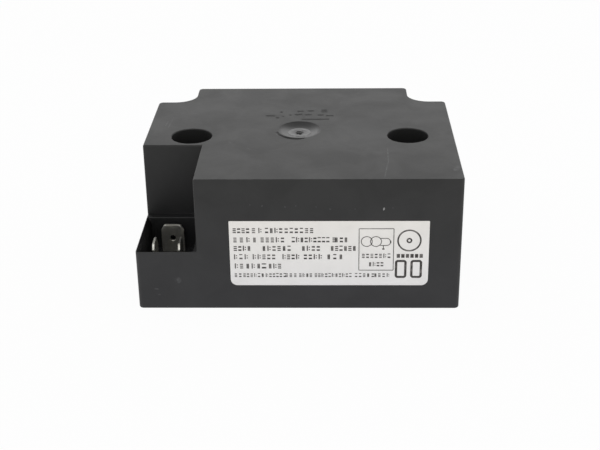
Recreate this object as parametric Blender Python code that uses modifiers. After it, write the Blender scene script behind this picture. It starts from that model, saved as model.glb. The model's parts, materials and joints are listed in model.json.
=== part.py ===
"""Ignition transformer: a resin-filled electronic unit with one high-voltage outlet.

Three blade terminals stand in an open bay at the front left corner, two screws hold the unit down
through its ears, and the spark lead plugs into a socket in the rear block.
Lengths are metres and +Z is up. The origin lies on the base, in the middle of the outline.
"""
import math

import bmesh
import bpy
from mathutils import Matrix, Vector

MM = 0.001

# Fits
GAP = 0.3 * MM
OVERSHOOT = 1.0 * MM
WELD = 0.001 * MM

# Case
CASE_WIDTH = 85.5 * MM
CASE_HEIGHT = 37.4 * MM
EAR_DEPTH = 59.7 * MM
REAR_BLOCK_DEPTH = 12.5 * MM
EAR_LENGTH = 10.85 * MM
EAR_FILLET = 6.2 * MM
CORNER_RADIUS = 0.8 * MM
EDGE_RADIUS = 0.45 * MM
WALL = 2.0 * MM
ROOF = 2.2 * MM

# Screw bores in the ears
SCREW_INSET = 12.75 * MM
SCREW_FROM_FRONT = 31.2 * MM
HEAD_BORE = 11.5 * MM
SCREW_BORE = 6.0 * MM
SEAT_HEIGHT = 5.0 * MM
BORE_WALL = 1.8 * MM
WEB = 2.0 * MM

# Terminal bay
BAY_WIDTH = 16.2 * MM
BAY_DEPTH = 24.1 * MM
BAY_RIM = 16.8 * MM
BAY_WALL = 1.2 * MM
BAY_SHELF = 2.3 * MM
BAY_FLOOR = 7.5 * MM
BAY_FLOOR_THICKNESS = 1.8 * MM

# Gate dish in the roof, with the cut stub of the gate in its middle
DISH_DIAMETER = 13.4 * MM
DISH_LIP = 0.75 * MM
DISH_LIP_DROP = 0.12 * MM
DISH_DEPTH = 0.9 * MM
DISH_FROM_FRONT = 35.8 * MM
STUB_DIAMETER = 6.5 * MM
STUB_BELOW_ROOF = 0.5 * MM
PIT_DIAMETER = 2.0 * MM

# High-voltage socket in the rear block
SOCKET_BORE = 7.6 * MM
SOCKET_DEPTH = 14.0 * MM
SOCKET_WALL = 1.5 * MM
SOCKET_SIDE_WALL = 2.2 * MM
PIN_DIAMETER = 3.0 * MM
PIN_BELOW_MOUTH = 6.0 * MM
PIN_TAIL = 2.5 * MM

# Blade terminals
BLADE_WIDTH = 6.3 * MM
BLADE_THICKNESS = 0.8 * MM
BLADE_BELOW_RIM = 1.0 * MM
BLADE_CHAMFER_WIDTH = 0.95 * MM
BLADE_CHAMFER_HEIGHT = 1.5 * MM
BLADE_HOLE = 1.6 * MM
BLADE_HOLE_DROP = 4.0 * MM
BLADE_LEG = 1.4 * MM
SIDE_BLADE_FROM_LEFT = 3.85 * MM
SIDE_BLADE_SPACING = 6.9 * MM
SIDE_BLADE_FROM_FRONT = 9.3 * MM
EARTH_BLADE_FROM_LEFT = 7.5 * MM
EARTH_BLADE_FROM_FRONT = 19.4 * MM

# Label
LABEL_WIDTH = 52.0 * MM
LABEL_HEIGHT = 18.7 * MM
LABEL_THICKNESS = 0.2 * MM
LABEL_SIDE_MARGIN = 8.55 * MM
LABEL_BASE_MARGIN = 7.1 * MM
LABEL_CORNER = 1.8 * MM
LABEL_TOP_CORNER = 0.2 * MM

# Resin and circuit board
RESIN_FACE = 1.2 * MM
CLOSING_POUR = 1.0 * MM
BOARD_THICKNESS = 1.6 * MM
BOARD_DEPTH = 20.4 * MM
LEAD_STRIP = 2.6 * MM
SOLDER_LENGTH = 1.0 * MM
LEG_DIAMETER = 0.8 * MM
SEAT_IN_BODY = 1.0 * MM

# Parts on the board: width, depth, height
SUPPRESSION_CAPACITOR = (10.5 * MM, 5.5 * MM, 11.0 * MM)
TANK_CAPACITOR = (10.0 * MM, 5.5 * MM, 12.0 * MM)
BRIDGE_RECTIFIER = (8.8 * MM, 3.6 * MM, 8.0 * MM)
CAPACITOR_PITCH = 7.5 * MM
BRIDGE_PITCH = 2.5 * MM
FUSE_RESISTOR = (3.2 * MM, 6.2 * MM)
SMALL_RESISTOR = (2.4 * MM, 6.0 * MM)
RESISTOR_SPAN = 1.5 * MM
VARISTOR_DIAMETER = 9.0 * MM
VARISTOR_THICKNESS = 3.6 * MM
VARISTOR_PITCH = 5.0 * MM
CHOKE_DIAMETER = 8.5 * MM
CHOKE_HEIGHT = 10.0 * MM
CHOKE_FLANGE = 1.5 * MM
CHOKE_HUB = 4.4 * MM
RESERVOIR_DIAMETER = 10.0 * MM
RESERVOIR_HEIGHT = 18.0 * MM
RESERVOIR_GROOVE = 0.6 * MM
RESERVOIR_GROOVE_HEIGHT = 2.0 * MM

# Switching transistor and its heat sink
TRANSISTOR_BODY = (3.75 * MM, 10.0 * MM, 9.0 * MM)
TRANSISTOR_TAB_THICKNESS = 1.3 * MM
TRANSISTOR_TAB_RISE = 6.2 * MM
TRANSISTOR_TAB_INSET = 2.0 * MM
TRANSISTOR_LIFT = 3.0 * MM
TRANSISTOR_PITCH = 2.54 * MM
SINK_THICKNESS = 1.5 * MM
SINK_WIDTH = 16.0 * MM
SINK_HEIGHT = 23.0 * MM
SCREW_DIAMETER = 3.0 * MM
SCREW_HEAD_DIAMETER = 5.5 * MM
SCREW_HEAD_HEIGHT = 1.8 * MM
SCREW_TIP = 0.5 * MM
NUT_ACROSS_CORNERS = 6.3 * MM
NUT_THICKNESS = 2.4 * MM

# High-frequency transformer: two U cores, a primary and a secondary in six chambers
CORE_LEG = 8.0 * MM
CORE_SIDE_ROOM = 2.4 * MM
FORMER_WALL = 1.0 * MM
FLANGE = 0.9 * MM
FORMER_ROOM = 1.0 * MM
PRIMARY_WINDING_DEPTH = 2.0 * MM
SECONDARY_WINDING_DEPTH = 5.0 * MM
FLANGE_LIP = 0.9 * MM
CHAMBERS = 6
REAR_ROOM = 0.5 * MM
LEAD_DIAMETER = 0.8 * MM
LEAD_BEND = 1.5 * MM
HV_LEAD_DIAMETER = 1.4 * MM

# Facets
ARC_STEPS = 4
FILLET_STEPS = 10
BORE_SIDES = 40
ROUND_SIDES = 24
SMALL_SIDES = 16
BLADE_HOLE_SIDES = 12
WIRE_SIDES = 8

# Planes and centres that follow from the sizes
CASE_DEPTH = EAR_DEPTH + REAR_BLOCK_DEPTH
LABEL_FRONT = GAP + LABEL_THICKNESS
LEFT = -CASE_WIDTH / 2
RIGHT = CASE_WIDTH / 2
FRONT = (LABEL_FRONT - CASE_DEPTH) / 2
REAR = FRONT + CASE_DEPTH
EAR_BACK = FRONT + EAR_DEPTH
REAR_HALF_WIDTH = CASE_WIDTH / 2 - EAR_LENGTH
ROOF_INSIDE = CASE_HEIGHT - ROOF
SCREW_X = CASE_WIDTH / 2 - SCREW_INSET
SCREW_Y = FRONT + SCREW_FROM_FRONT
BORE_OUTER = HEAD_BORE / 2 + BORE_WALL
DISH_Y = FRONT + DISH_FROM_FRONT
BAY_RIGHT = LEFT + BAY_WIDTH
BAY_BACK = FRONT + BAY_DEPTH
BAY_FLOOR_UNDERSIDE = BAY_FLOOR - BAY_FLOOR_THICKNESS
BOARD_TOP = BAY_FLOOR_UNDERSIDE - GAP
BOARD_BOTTOM = BOARD_TOP - BOARD_THICKNESS
BOARD_FRONT = FRONT + WALL + GAP
BOARD_REAR = BOARD_FRONT + BOARD_DEPTH
BOARD_LEFT = LEFT + WALL + GAP
BOARD_RIGHT = RIGHT - WALL - GAP
SEAT = BOARD_TOP + GAP
LEG_END = BOARD_BOTTOM - SOLDER_LENGTH
CLOSING_TOP = RESIN_FACE + CLOSING_POUR
CORE_Z = (RESIN_FACE + ROOF_INSIDE) / 2
SOCKET_X = REAR_HALF_WIDTH - SOCKET_SIDE_WALL - SOCKET_BORE / 2
SOCKET_OUTER = SOCKET_BORE / 2 + SOCKET_WALL
SOCKET_FLOOR = REAR - SOCKET_DEPTH
SOCKET_BACK = SOCKET_FLOOR - SOCKET_WALL
PIN_INNER_END = SOCKET_BACK - PIN_TAIL

PRODUCT = bpy.data.collections.new("ignition_transformer")
CUTTERS = bpy.data.collections.new("cutters")


# Scene and objects

def clear_scene():
    """Remove every object, then add the two collections."""
    for thing in list(bpy.data.objects):
        bpy.data.objects.remove(thing, do_unlink=True)
    for group in (PRODUCT, CUTTERS):
        bpy.context.scene.collection.children.link(group)


def make_finish(name, colour, roughness, metallic=0.0):
    """A plain Principled material."""
    finish = bpy.data.materials.new(name)
    finish.use_nodes = True
    shader = finish.node_tree.nodes["Principled BSDF"]
    shader.inputs["Base Color"].default_value = (*colour, 1.0)
    shader.inputs["Roughness"].default_value = roughness
    shader.inputs["Metallic"].default_value = metallic
    return finish


def add_piece(name, mesh, finish, location=(0, 0, 0), rotation=(0, 0, 0)):
    """Link a named piece of the product."""
    piece = bpy.data.objects.new(name, mesh)
    piece.location = location
    piece.rotation_euler = rotation
    if not mesh.materials:
        mesh.materials.append(finish)
    PRODUCT.objects.link(piece)
    return piece


def add_cutter(name, mesh, location=(0, 0, 0), rotation=(0, 0, 0)):
    """Link a shape that only takes part in Booleans."""
    cutter = bpy.data.objects.new(name, mesh)
    cutter.location = location
    cutter.rotation_euler = rotation
    cutter.hide_render = True
    cutter.display_type = "WIRE"
    CUTTERS.objects.link(cutter)
    return cutter


def combine(target, operation, *operands):
    """Add one Boolean modifier for each operand."""
    for operand in operands:
        step = target.modifiers.new(operand.name, "BOOLEAN")
        step.operation = operation
        step.object = operand
        step.solver = "EXACT"


def round_edges(target, width):
    """Round the sharp edges that the piece has so far."""
    bevel = target.modifiers.new("edges", "BEVEL")
    bevel.width = width
    bevel.segments = 2
    bevel.limit_method = "ANGLE"
    bevel.angle_limit = math.radians(50)


def shade_round(mesh):
    """Smooth shading that keeps real edges sharp."""
    mesh.shade_smooth()
    mesh.set_sharp_from_angle(angle=math.radians(35))
    return mesh


# Meshes

def baked(source):
    """Evaluate a helper object, keep its mesh and remove the helper."""
    bpy.context.scene.collection.objects.link(source)
    graph = bpy.context.evaluated_depsgraph_get()
    mesh = bpy.data.meshes.new_from_object(source.evaluated_get(graph))
    bpy.data.objects.remove(source, do_unlink=True)
    shape = bmesh.new()
    shape.from_mesh(mesh)
    bmesh.ops.remove_doubles(shape, verts=shape.verts, dist=WELD)
    bmesh.ops.dissolve_limit(shape, angle_limit=math.radians(0.5), verts=shape.verts, edges=shape.edges)
    bmesh.ops.recalc_face_normals(shape, faces=shape.faces)
    shape.to_mesh(mesh)
    shape.free()
    return shade_round(mesh)


def box(low, high):
    """A box between two corners."""
    low, high = Vector(low), Vector(high)
    shape = bmesh.new()
    bmesh.ops.create_cube(shape, size=1.0, matrix=Matrix.LocRotScale((low + high) / 2, None, high - low))
    mesh = bpy.data.meshes.new("box")
    shape.to_mesh(mesh)
    shape.free()
    return mesh


def rod(radius, low, high, sides=ROUND_SIDES):
    """A cylinder along Z from low to high."""
    shape = bmesh.new()
    middle = Matrix.Translation((0, 0, (low + high) / 2))
    bmesh.ops.create_cone(shape, cap_ends=True, segments=sides, radius1=radius, radius2=radius,
                          depth=high - low, matrix=middle)
    mesh = bpy.data.meshes.new("rod")
    shape.to_mesh(mesh)
    shape.free()
    return shade_round(mesh)


def rods(radius, low, high, places, sides=WIRE_SIDES):
    """Several like rods in one mesh, each at its own place."""
    shape = bmesh.new()
    for x, y in places:
        middle = Matrix.Translation((x, y, (low + high) / 2))
        bmesh.ops.create_cone(shape, cap_ends=True, segments=sides, radius1=radius, radius2=radius,
                              depth=high - low, matrix=middle)
    mesh = bpy.data.meshes.new("rods")
    shape.to_mesh(mesh)
    shape.free()
    return mesh


def turned(profile, sides=ROUND_SIDES):
    """A body turned about Z from (radius, height) points that run from the top to the bottom."""
    mesh = bpy.data.meshes.new("turned")
    shape = bmesh.new()
    points = [shape.verts.new((radius, 0, height)) for radius, height in profile]
    for start, end in zip(points, points[1:]):
        shape.edges.new((start, end))
    shape.to_mesh(mesh)
    shape.free()
    helper = bpy.data.objects.new("turned", mesh)
    screw = helper.modifiers.new("screw", "SCREW")
    screw.axis = "Z"
    screw.steps = sides
    screw.render_steps = sides
    screw.use_merge_vertices = True
    screw.merge_threshold = WELD
    return baked(helper)


def ring(inner, outer, low, high, sides=ROUND_SIDES):
    """A ring of rectangular section about Z."""
    section = [(inner, high), (outer, high), (outer, low), (inner, low), (inner, high)]
    return turned(section, sides)


def circle(x, y, radius, sides):
    """Points of a circle."""
    turns = [2 * math.pi * (step + 0.5) / sides for step in range(sides)]
    return [(x + radius * math.cos(turn), y + radius * math.sin(turn)) for turn in turns]


def rectangle(x, y, width, depth):
    """Points of a rectangle about its centre."""
    return [(x + i * width / 2, y + j * depth / 2) for i, j in ((-1, -1), (1, -1), (1, 1), (-1, 1))]


def plate(outline, low, high, holes=()):
    """A flat plate from a closed outline, with closed outlines for its holes."""
    curve = bpy.data.curves.new("plate", "CURVE")
    curve.dimensions = "2D"
    curve.fill_mode = "BOTH"
    curve.extrude = (high - low) / 2
    for loop in (outline, *holes):
        spline = curve.splines.new("POLY")
        spline.points.add(len(loop) - 1)
        for point, place in zip(spline.points, loop):
            point.co = (place[0], place[1], 0, 1)
        spline.use_cyclic_u = True
    mesh = baked(bpy.data.objects.new("plate", curve))
    mesh.transform(Matrix.Translation((0, 0, (low + high) / 2)))
    return mesh


def corner_arc(corner, before, after, radius, steps):
    """Points of the arc that rounds one corner, no longer than half of either side."""
    to_before, to_after = before - corner, after - corner
    half_angle = to_before.angle(to_after) / 2
    reach = min(radius / math.tan(half_angle), to_before.length / 2.02, to_after.length / 2.02)
    radius = reach * math.tan(half_angle)
    start = corner + to_before.normalized() * reach
    end = corner + to_after.normalized() * reach
    middle = (to_before.normalized() + to_after.normalized()).normalized()
    centre = corner + middle * (radius / math.sin(half_angle))
    sweep = math.pi - 2 * half_angle
    points = []
    for step in range(steps + 1):
        turn = sweep * step / steps
        arm = (start - centre) * math.sin(sweep - turn) + (end - centre) * math.sin(turn)
        points.append(centre + arm / math.sin(sweep))
    return points


def rounded(corners):
    """A closed outline through (x, y, radius, steps) corners."""
    places = [Vector(corner[:2]) for corner in corners]
    points = []
    for index, (_, _, radius, steps) in enumerate(corners):
        after = places[(index + 1) % len(places)]
        points += corner_arc(places[index], places[index - 1], after, radius, steps)
    return points


def wire(stops, diameter, bend=LEAD_BEND):
    """A round wire through its stops, bent to an arc at each of them."""
    stops = [Vector(stop) for stop in stops]
    path = [stops[0]]
    for before, corner, after in zip(stops, stops[1:], stops[2:]):
        path += corner_arc(corner, before, after, bend, ARC_STEPS)
    path.append(stops[-1])
    curve = bpy.data.curves.new("wire", "CURVE")
    curve.dimensions = "3D"
    curve.bevel_depth = diameter / 2
    curve.bevel_resolution = 2
    curve.use_fill_caps = True
    spline = curve.splines.new("POLY")
    spline.points.add(len(path) - 1)
    for point, place in zip(spline.points, path):
        point.co = (*place, 1)
    return baked(bpy.data.objects.new("wire", curve))


# Case

def case_outline(inset):
    """The case seen from above, drawn in by a wall."""
    half = CASE_WIDTH / 2 - inset
    rear_half = REAR_HALF_WIDTH - inset
    front, ear, rear = FRONT + inset, EAR_BACK - inset, REAR - inset
    outer = max(CORNER_RADIUS - inset, GAP)
    inner = EAR_FILLET + inset
    return rounded([
        (-half, front, outer, ARC_STEPS), (half, front, outer, ARC_STEPS), (half, ear, outer, ARC_STEPS),
        (rear_half, ear, inner, FILLET_STEPS), (rear_half, rear, outer, ARC_STEPS),
        (-rear_half, rear, outer, ARC_STEPS), (-rear_half, ear, inner, FILLET_STEPS),
        (-half, ear, outer, ARC_STEPS),
    ])


def bore_tubes(prefix, margin):
    """The tubes of the screw bores and the webs that join them to the side walls, grown by a margin."""
    features = []
    for side, sign in (("left", -1), ("right", 1)):
        tube = rod(BORE_OUTER + margin, -2 * OVERSHOOT, CASE_HEIGHT, BORE_SIDES)
        features.append(add_cutter(f"{prefix}_bore_{side}", tube, (sign * SCREW_X, SCREW_Y, 0)))
        web_ends = sorted((sign * SCREW_X, sign * (CASE_WIDTH / 2 + OVERSHOOT)))
        web = box((web_ends[0], SCREW_Y - WEB / 2 - margin, -2 * OVERSHOOT),
                  (web_ends[1], SCREW_Y + WEB / 2 + margin, CASE_HEIGHT))
        features.append(add_cutter(f"{prefix}_web_{side}", web))
    return features


def keep_clear(prefix, margin):
    """The moulded features that stand inside the case, each grown by a margin."""
    features = bore_tubes(prefix, margin)
    outside = (LEFT - OVERSHOOT, FRONT - OVERSHOOT)
    upper = box((*outside, BAY_RIM - WALL - margin),
                (BAY_RIGHT + BORE_WALL + margin, BAY_BACK + BORE_WALL + margin, CASE_HEIGHT))
    lower = box((*outside, BAY_FLOOR_UNDERSIDE - margin),
                (BAY_RIGHT + BORE_WALL + margin, BAY_BACK + margin, BAY_RIM))
    features.append(add_cutter(f"{prefix}_bay_upper", upper))
    features.append(add_cutter(f"{prefix}_bay_lower", lower))
    length = REAR + OVERSHOOT - SOCKET_BACK + margin
    boss = rod(SOCKET_OUTER + margin, 0, length)
    features.append(add_cutter(f"{prefix}_socket", boss, (SOCKET_X, REAR + OVERSHOOT, CORE_Z),
                               (math.pi / 2, 0, 0)))
    return features


def blade_places():
    """Centre and turn of the three blades: line and neutral stand edge-on, earth faces the front."""
    left = LEFT + SIDE_BLADE_FROM_LEFT
    side_y = FRONT + SIDE_BLADE_FROM_FRONT
    return {
        "line_blade": (left, side_y, math.pi / 2),
        "neutral_blade": (left + SIDE_BLADE_SPACING, side_y, math.pi / 2),
        "earth_blade": (LEFT + EARTH_BLADE_FROM_LEFT, FRONT + EARTH_BLADE_FROM_FRONT, 0.0),
    }


def make_case(finish):
    """One moulding: roof, walls, ears with their bores, terminal bay, dish and socket."""
    case = add_piece("case", plate(case_outline(0), 0, CASE_HEIGHT), finish)
    notch = box((LEFT - OVERSHOOT, FRONT - OVERSHOOT, BAY_RIM),
                (BAY_RIGHT, BAY_BACK, CASE_HEIGHT + OVERSHOOT))
    combine(case, "DIFFERENCE", add_cutter("notch", notch))
    round_edges(case, EDGE_RADIUS)

    inside = add_cutter("inside", plate(case_outline(WALL), -OVERSHOOT, ROOF_INSIDE))
    combine(inside, "DIFFERENCE", *keep_clear("keep", 0))
    combine(case, "DIFFERENCE", inside)

    top = CASE_HEIGHT + OVERSHOOT
    steps = [(0, top), (HEAD_BORE / 2, top), (HEAD_BORE / 2, SEAT_HEIGHT), (SCREW_BORE / 2, SEAT_HEIGHT),
             (SCREW_BORE / 2, -OVERSHOOT), (0, -OVERSHOOT)]
    stepped = turned(steps, BORE_SIDES)
    for side, sign in (("left", -1), ("right", 1)):
        combine(case, "DIFFERENCE", add_cutter(f"bore_{side}", stepped, (sign * SCREW_X, SCREW_Y, 0)))

    well = box((LEFT + BAY_WALL, FRONT + BAY_WALL, BAY_FLOOR),
               (BAY_RIGHT, BAY_BACK - BAY_SHELF, CASE_HEIGHT))
    combine(case, "DIFFERENCE", add_cutter("well", well))
    for name, (x, y, turn) in blade_places().items():
        slot = box((-BLADE_WIDTH / 2 - GAP, -BLADE_THICKNESS / 2 - GAP, BAY_FLOOR_UNDERSIDE - OVERSHOOT),
                   (BLADE_WIDTH / 2 + GAP, BLADE_THICKNESS / 2 + GAP, BAY_FLOOR + OVERSHOOT))
        combine(case, "DIFFERENCE", add_cutter(f"slot_{name}", slot, (x, y, 0), (0, 0, turn)))

    combine(case, "DIFFERENCE", add_cutter("dish", turned(dish_profile(), BORE_SIDES), (0, DISH_Y, 0)))

    mouth = [(0, SOCKET_DEPTH + PIN_TAIL), (PIN_DIAMETER / 2 + GAP, SOCKET_DEPTH + PIN_TAIL),
             (PIN_DIAMETER / 2 + GAP, SOCKET_DEPTH), (SOCKET_BORE / 2, SOCKET_DEPTH),
             (SOCKET_BORE / 2, -OVERSHOOT), (0, -OVERSHOOT)]
    socket = add_cutter("socket", turned(mouth), (SOCKET_X, REAR, CORE_Z), (math.pi / 2, 0, 0))
    combine(case, "DIFFERENCE", socket)
    return case


def dish_profile():
    """Section of the dish: a soft lip, a cone, and the stub with its shrink pit."""
    lip = DISH_DIAMETER / 2 - DISH_LIP
    stub_top = CASE_HEIGHT - STUB_BELOW_ROOF
    floor = CASE_HEIGHT - DISH_DEPTH
    foot = STUB_DIAMETER / 2 + DISH_LIP_DROP
    return [
        (0, CASE_HEIGHT + OVERSHOOT), (DISH_DIAMETER / 2, CASE_HEIGHT + OVERSHOOT),
        (DISH_DIAMETER / 2, CASE_HEIGHT), (lip, CASE_HEIGHT - DISH_LIP_DROP), (foot, floor),
        (STUB_DIAMETER / 2, stub_top), (PIT_DIAMETER / 2, stub_top), (0, floor),
    ]


def make_label(finish):
    """The rating label, square at its top corners and rounded at its bottom ones."""
    half_width, half_height = LABEL_WIDTH / 2, LABEL_HEIGHT / 2
    outline = rounded([
        (-half_width, -half_height, LABEL_CORNER, ARC_STEPS),
        (half_width, -half_height, LABEL_CORNER, ARC_STEPS),
        (half_width, half_height, LABEL_TOP_CORNER, 1),
        (-half_width, half_height, LABEL_TOP_CORNER, 1),
    ])
    place = (RIGHT - LABEL_SIDE_MARGIN - half_width, FRONT - GAP, LABEL_BASE_MARGIN + half_height)
    add_piece("rating_label", plate(outline, 0, LABEL_THICKNESS), finish, place, (math.pi / 2, 0, 0))


def make_blades(finish):
    """Three like blades that stand on the board and pass up through the bay's floor."""
    top = BAY_RIM - BLADE_BELOW_RIM
    half = BLADE_WIDTH / 2
    shoulder = top - BLADE_CHAMFER_HEIGHT
    outline = [
        (-half, LEG_END), (-half + BLADE_LEG, LEG_END), (-half + BLADE_LEG, SEAT), (half - BLADE_LEG, SEAT),
        (half - BLADE_LEG, LEG_END), (half, LEG_END), (half, shoulder), (half - BLADE_CHAMFER_WIDTH, top),
        (-half + BLADE_CHAMFER_WIDTH, top), (-half, shoulder),
    ]
    hole = circle(0, top - BLADE_HOLE_DROP, BLADE_HOLE / 2, BLADE_HOLE_SIDES)
    mesh = plate(outline, -BLADE_THICKNESS / 2, BLADE_THICKNESS / 2, [hole])
    for name, (x, y, turn) in blade_places().items():
        add_piece(name, mesh, finish, (x, y, 0), (math.pi / 2, 0, turn))


def blade_leg_holes():
    """Slots in the board for the two legs of each blade."""
    holes = []
    arm = (BLADE_WIDTH - BLADE_LEG) / 2
    long, short = BLADE_LEG + 2 * GAP, BLADE_THICKNESS + 2 * GAP
    for x, y, turn in blade_places().values():
        for sign in (-1, 1):
            if turn:
                holes.append(rectangle(x, y + sign * arm, short, long))
            else:
                holes.append(rectangle(x + sign * arm, y, long, short))
    return holes


# Parts on the board

def spread(low, high, widths):
    """Centres of things in a row with equal room between them."""
    room = (high - low - sum(widths)) / (len(widths) + 1)
    centres = []
    edge = low
    for width in widths:
        edge += room + width / 2
        centres.append(edge)
        edge += width / 2
    return centres


def add_legs(piece, places, top=SEAT + SEAT_IN_BODY):
    """Solder legs that run from a piece down through the board."""
    legs = rods(LEG_DIAMETER / 2, LEG_END, top, places)
    combine(piece, "UNION", add_cutter(f"{piece.name}_legs", legs))
    return [circle(x, y, LEG_DIAMETER / 2 + GAP, WIRE_SIDES) for x, y in places]


def in_line(x, y, pitch, count):
    """Leg places along X about a centre."""
    return [(x + pitch * (step - (count - 1) / 2), y) for step in range(count)]


def make_block(name, x, y, size, pitch, legs, finish):
    """A moulded box with a row of legs."""
    width, depth, height = size
    low = (x - width / 2, y - depth / 2, SEAT)
    piece = add_piece(name, box(low, (x + width / 2, y + depth / 2, SEAT + height)), finish)
    pocket = (name, low, (x + width / 2, y + depth / 2, SEAT + height))
    return add_legs(piece, in_line(x, y, pitch, legs)), pocket


def make_resistor(name, x, y, size, along_y, finish):
    """A round resistor that lies on the board, with one bent wire through it."""
    diameter, length = size
    reach = length / 2 + RESISTOR_SPAN
    axis_z = SEAT + diameter / 2
    stops = [(-reach, 0, LEG_END), (-reach, 0, axis_z), (reach, 0, axis_z), (reach, 0, LEG_END)]
    turn = math.pi / 2 if along_y else 0.0
    lead = add_cutter(f"{name}_wire", wire(stops, LEG_DIAMETER, LEG_DIAMETER), (x, y, 0), (0, 0, turn))
    body = rod(diameter / 2, -length / 2, length / 2, SMALL_SIDES)
    piece = add_piece(name, body, finish, (x, y, axis_z), (0, math.pi / 2, turn))
    combine(piece, "UNION", lead)
    reach_x, reach_y = (0, reach) if along_y else (reach, 0)
    places = [(x - reach_x, y - reach_y), (x + reach_x, y + reach_y)]
    half_x, half_y = (diameter / 2, length / 2) if along_y else (length / 2, diameter / 2)
    half_x, half_y = max(half_x, reach_x + LEG_DIAMETER / 2), max(half_y, reach_y + LEG_DIAMETER / 2)
    pocket = (name, (x - half_x, y - half_y, SEAT), (x + half_x, y + half_y, SEAT + diameter))
    return [circle(*place, LEG_DIAMETER / 2 + GAP, WIRE_SIDES) for place in places], pocket


def make_varistor(x, y, finish):
    """A coated disc on two legs."""
    radius, half = VARISTOR_DIAMETER / 2, VARISTOR_THICKNESS / 2
    centre = (x, y, SEAT + radius)
    piece = add_piece("varistor", rod(radius, -half, half), finish, centre, (math.pi / 2, 0, 0))
    holes = add_legs(piece, in_line(x, y, VARISTOR_PITCH, 2), SEAT + radius)
    pocket = ("varistor", (x - radius, y - half, SEAT), (x + radius, y + half, SEAT + 2 * radius))
    return holes, pocket


def make_choke(x, y, ferrite, copper):
    """A drum core with its winding between the flanges."""
    outer, hub = CHOKE_DIAMETER / 2, CHOKE_HUB / 2
    low, high = CHOKE_FLANGE, CHOKE_HEIGHT - CHOKE_FLANGE
    drum = turned([(0, CHOKE_HEIGHT), (outer, CHOKE_HEIGHT), (outer, high), (hub, high), (hub, low),
                   (outer, low), (outer, 0), (0, 0)])
    core = add_piece("choke_core", drum, ferrite, (x, y, SEAT))
    winding = ring(hub + GAP, outer - GAP, low + GAP, high - GAP)
    add_piece("choke_winding", winding, copper, (x, y, SEAT))
    holes = add_legs(core, in_line(x, y, hub, 2))
    pocket = ("choke", (x - outer, y - outer, SEAT), (x + outer, y + outer, SEAT + CHOKE_HEIGHT))
    return holes, pocket


def make_reservoir(x, y, finish):
    """An electrolytic can with the crimped groove near its foot."""
    outer = RESERVOIR_DIAMETER / 2
    groove = RESERVOIR_GROOVE_HEIGHT
    can = turned([(0, RESERVOIR_HEIGHT), (outer - RESERVOIR_GROOVE, RESERVOIR_HEIGHT),
                  (outer, RESERVOIR_HEIGHT - RESERVOIR_GROOVE), (outer, groove + RESERVOIR_GROOVE),
                  (outer - RESERVOIR_GROOVE, groove), (outer, groove - RESERVOIR_GROOVE), (outer, 0), (0, 0)])
    piece = add_piece("reservoir_capacitor", can, finish, (x, y, SEAT))
    holes = add_legs(piece, in_line(x, y, outer, 2))
    pocket = ("reservoir", (x - outer, y - outer, SEAT), (x + outer, y + outer, SEAT + RESERVOIR_HEIGHT))
    return holes, pocket


def sink_planes():
    """Left faces of the transistor's body, its metal tab, the sink and the nut, and the screw's end."""
    end = RIGHT - WALL - 2 * GAP
    nut = end - SCREW_TIP - NUT_THICKNESS
    sink = nut - GAP - SINK_THICKNESS
    tab = sink - GAP - TRANSISTOR_TAB_THICKNESS
    body = tab + TRANSISTOR_TAB_THICKNESS / 2 - TRANSISTOR_BODY[0]
    return body, tab, sink, nut, end


def standing(mesh, x, y=0.0, z=0.0):
    """Turn a flat plate so that its own X runs along Y, its own Y up, and its thickness along X."""
    turn = Matrix.Rotation(math.pi / 2, 4, "Z") @ Matrix.Rotation(math.pi / 2, 4, "X")
    mesh.transform(Matrix.Translation((x, y, z)) @ turn)
    return mesh


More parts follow.
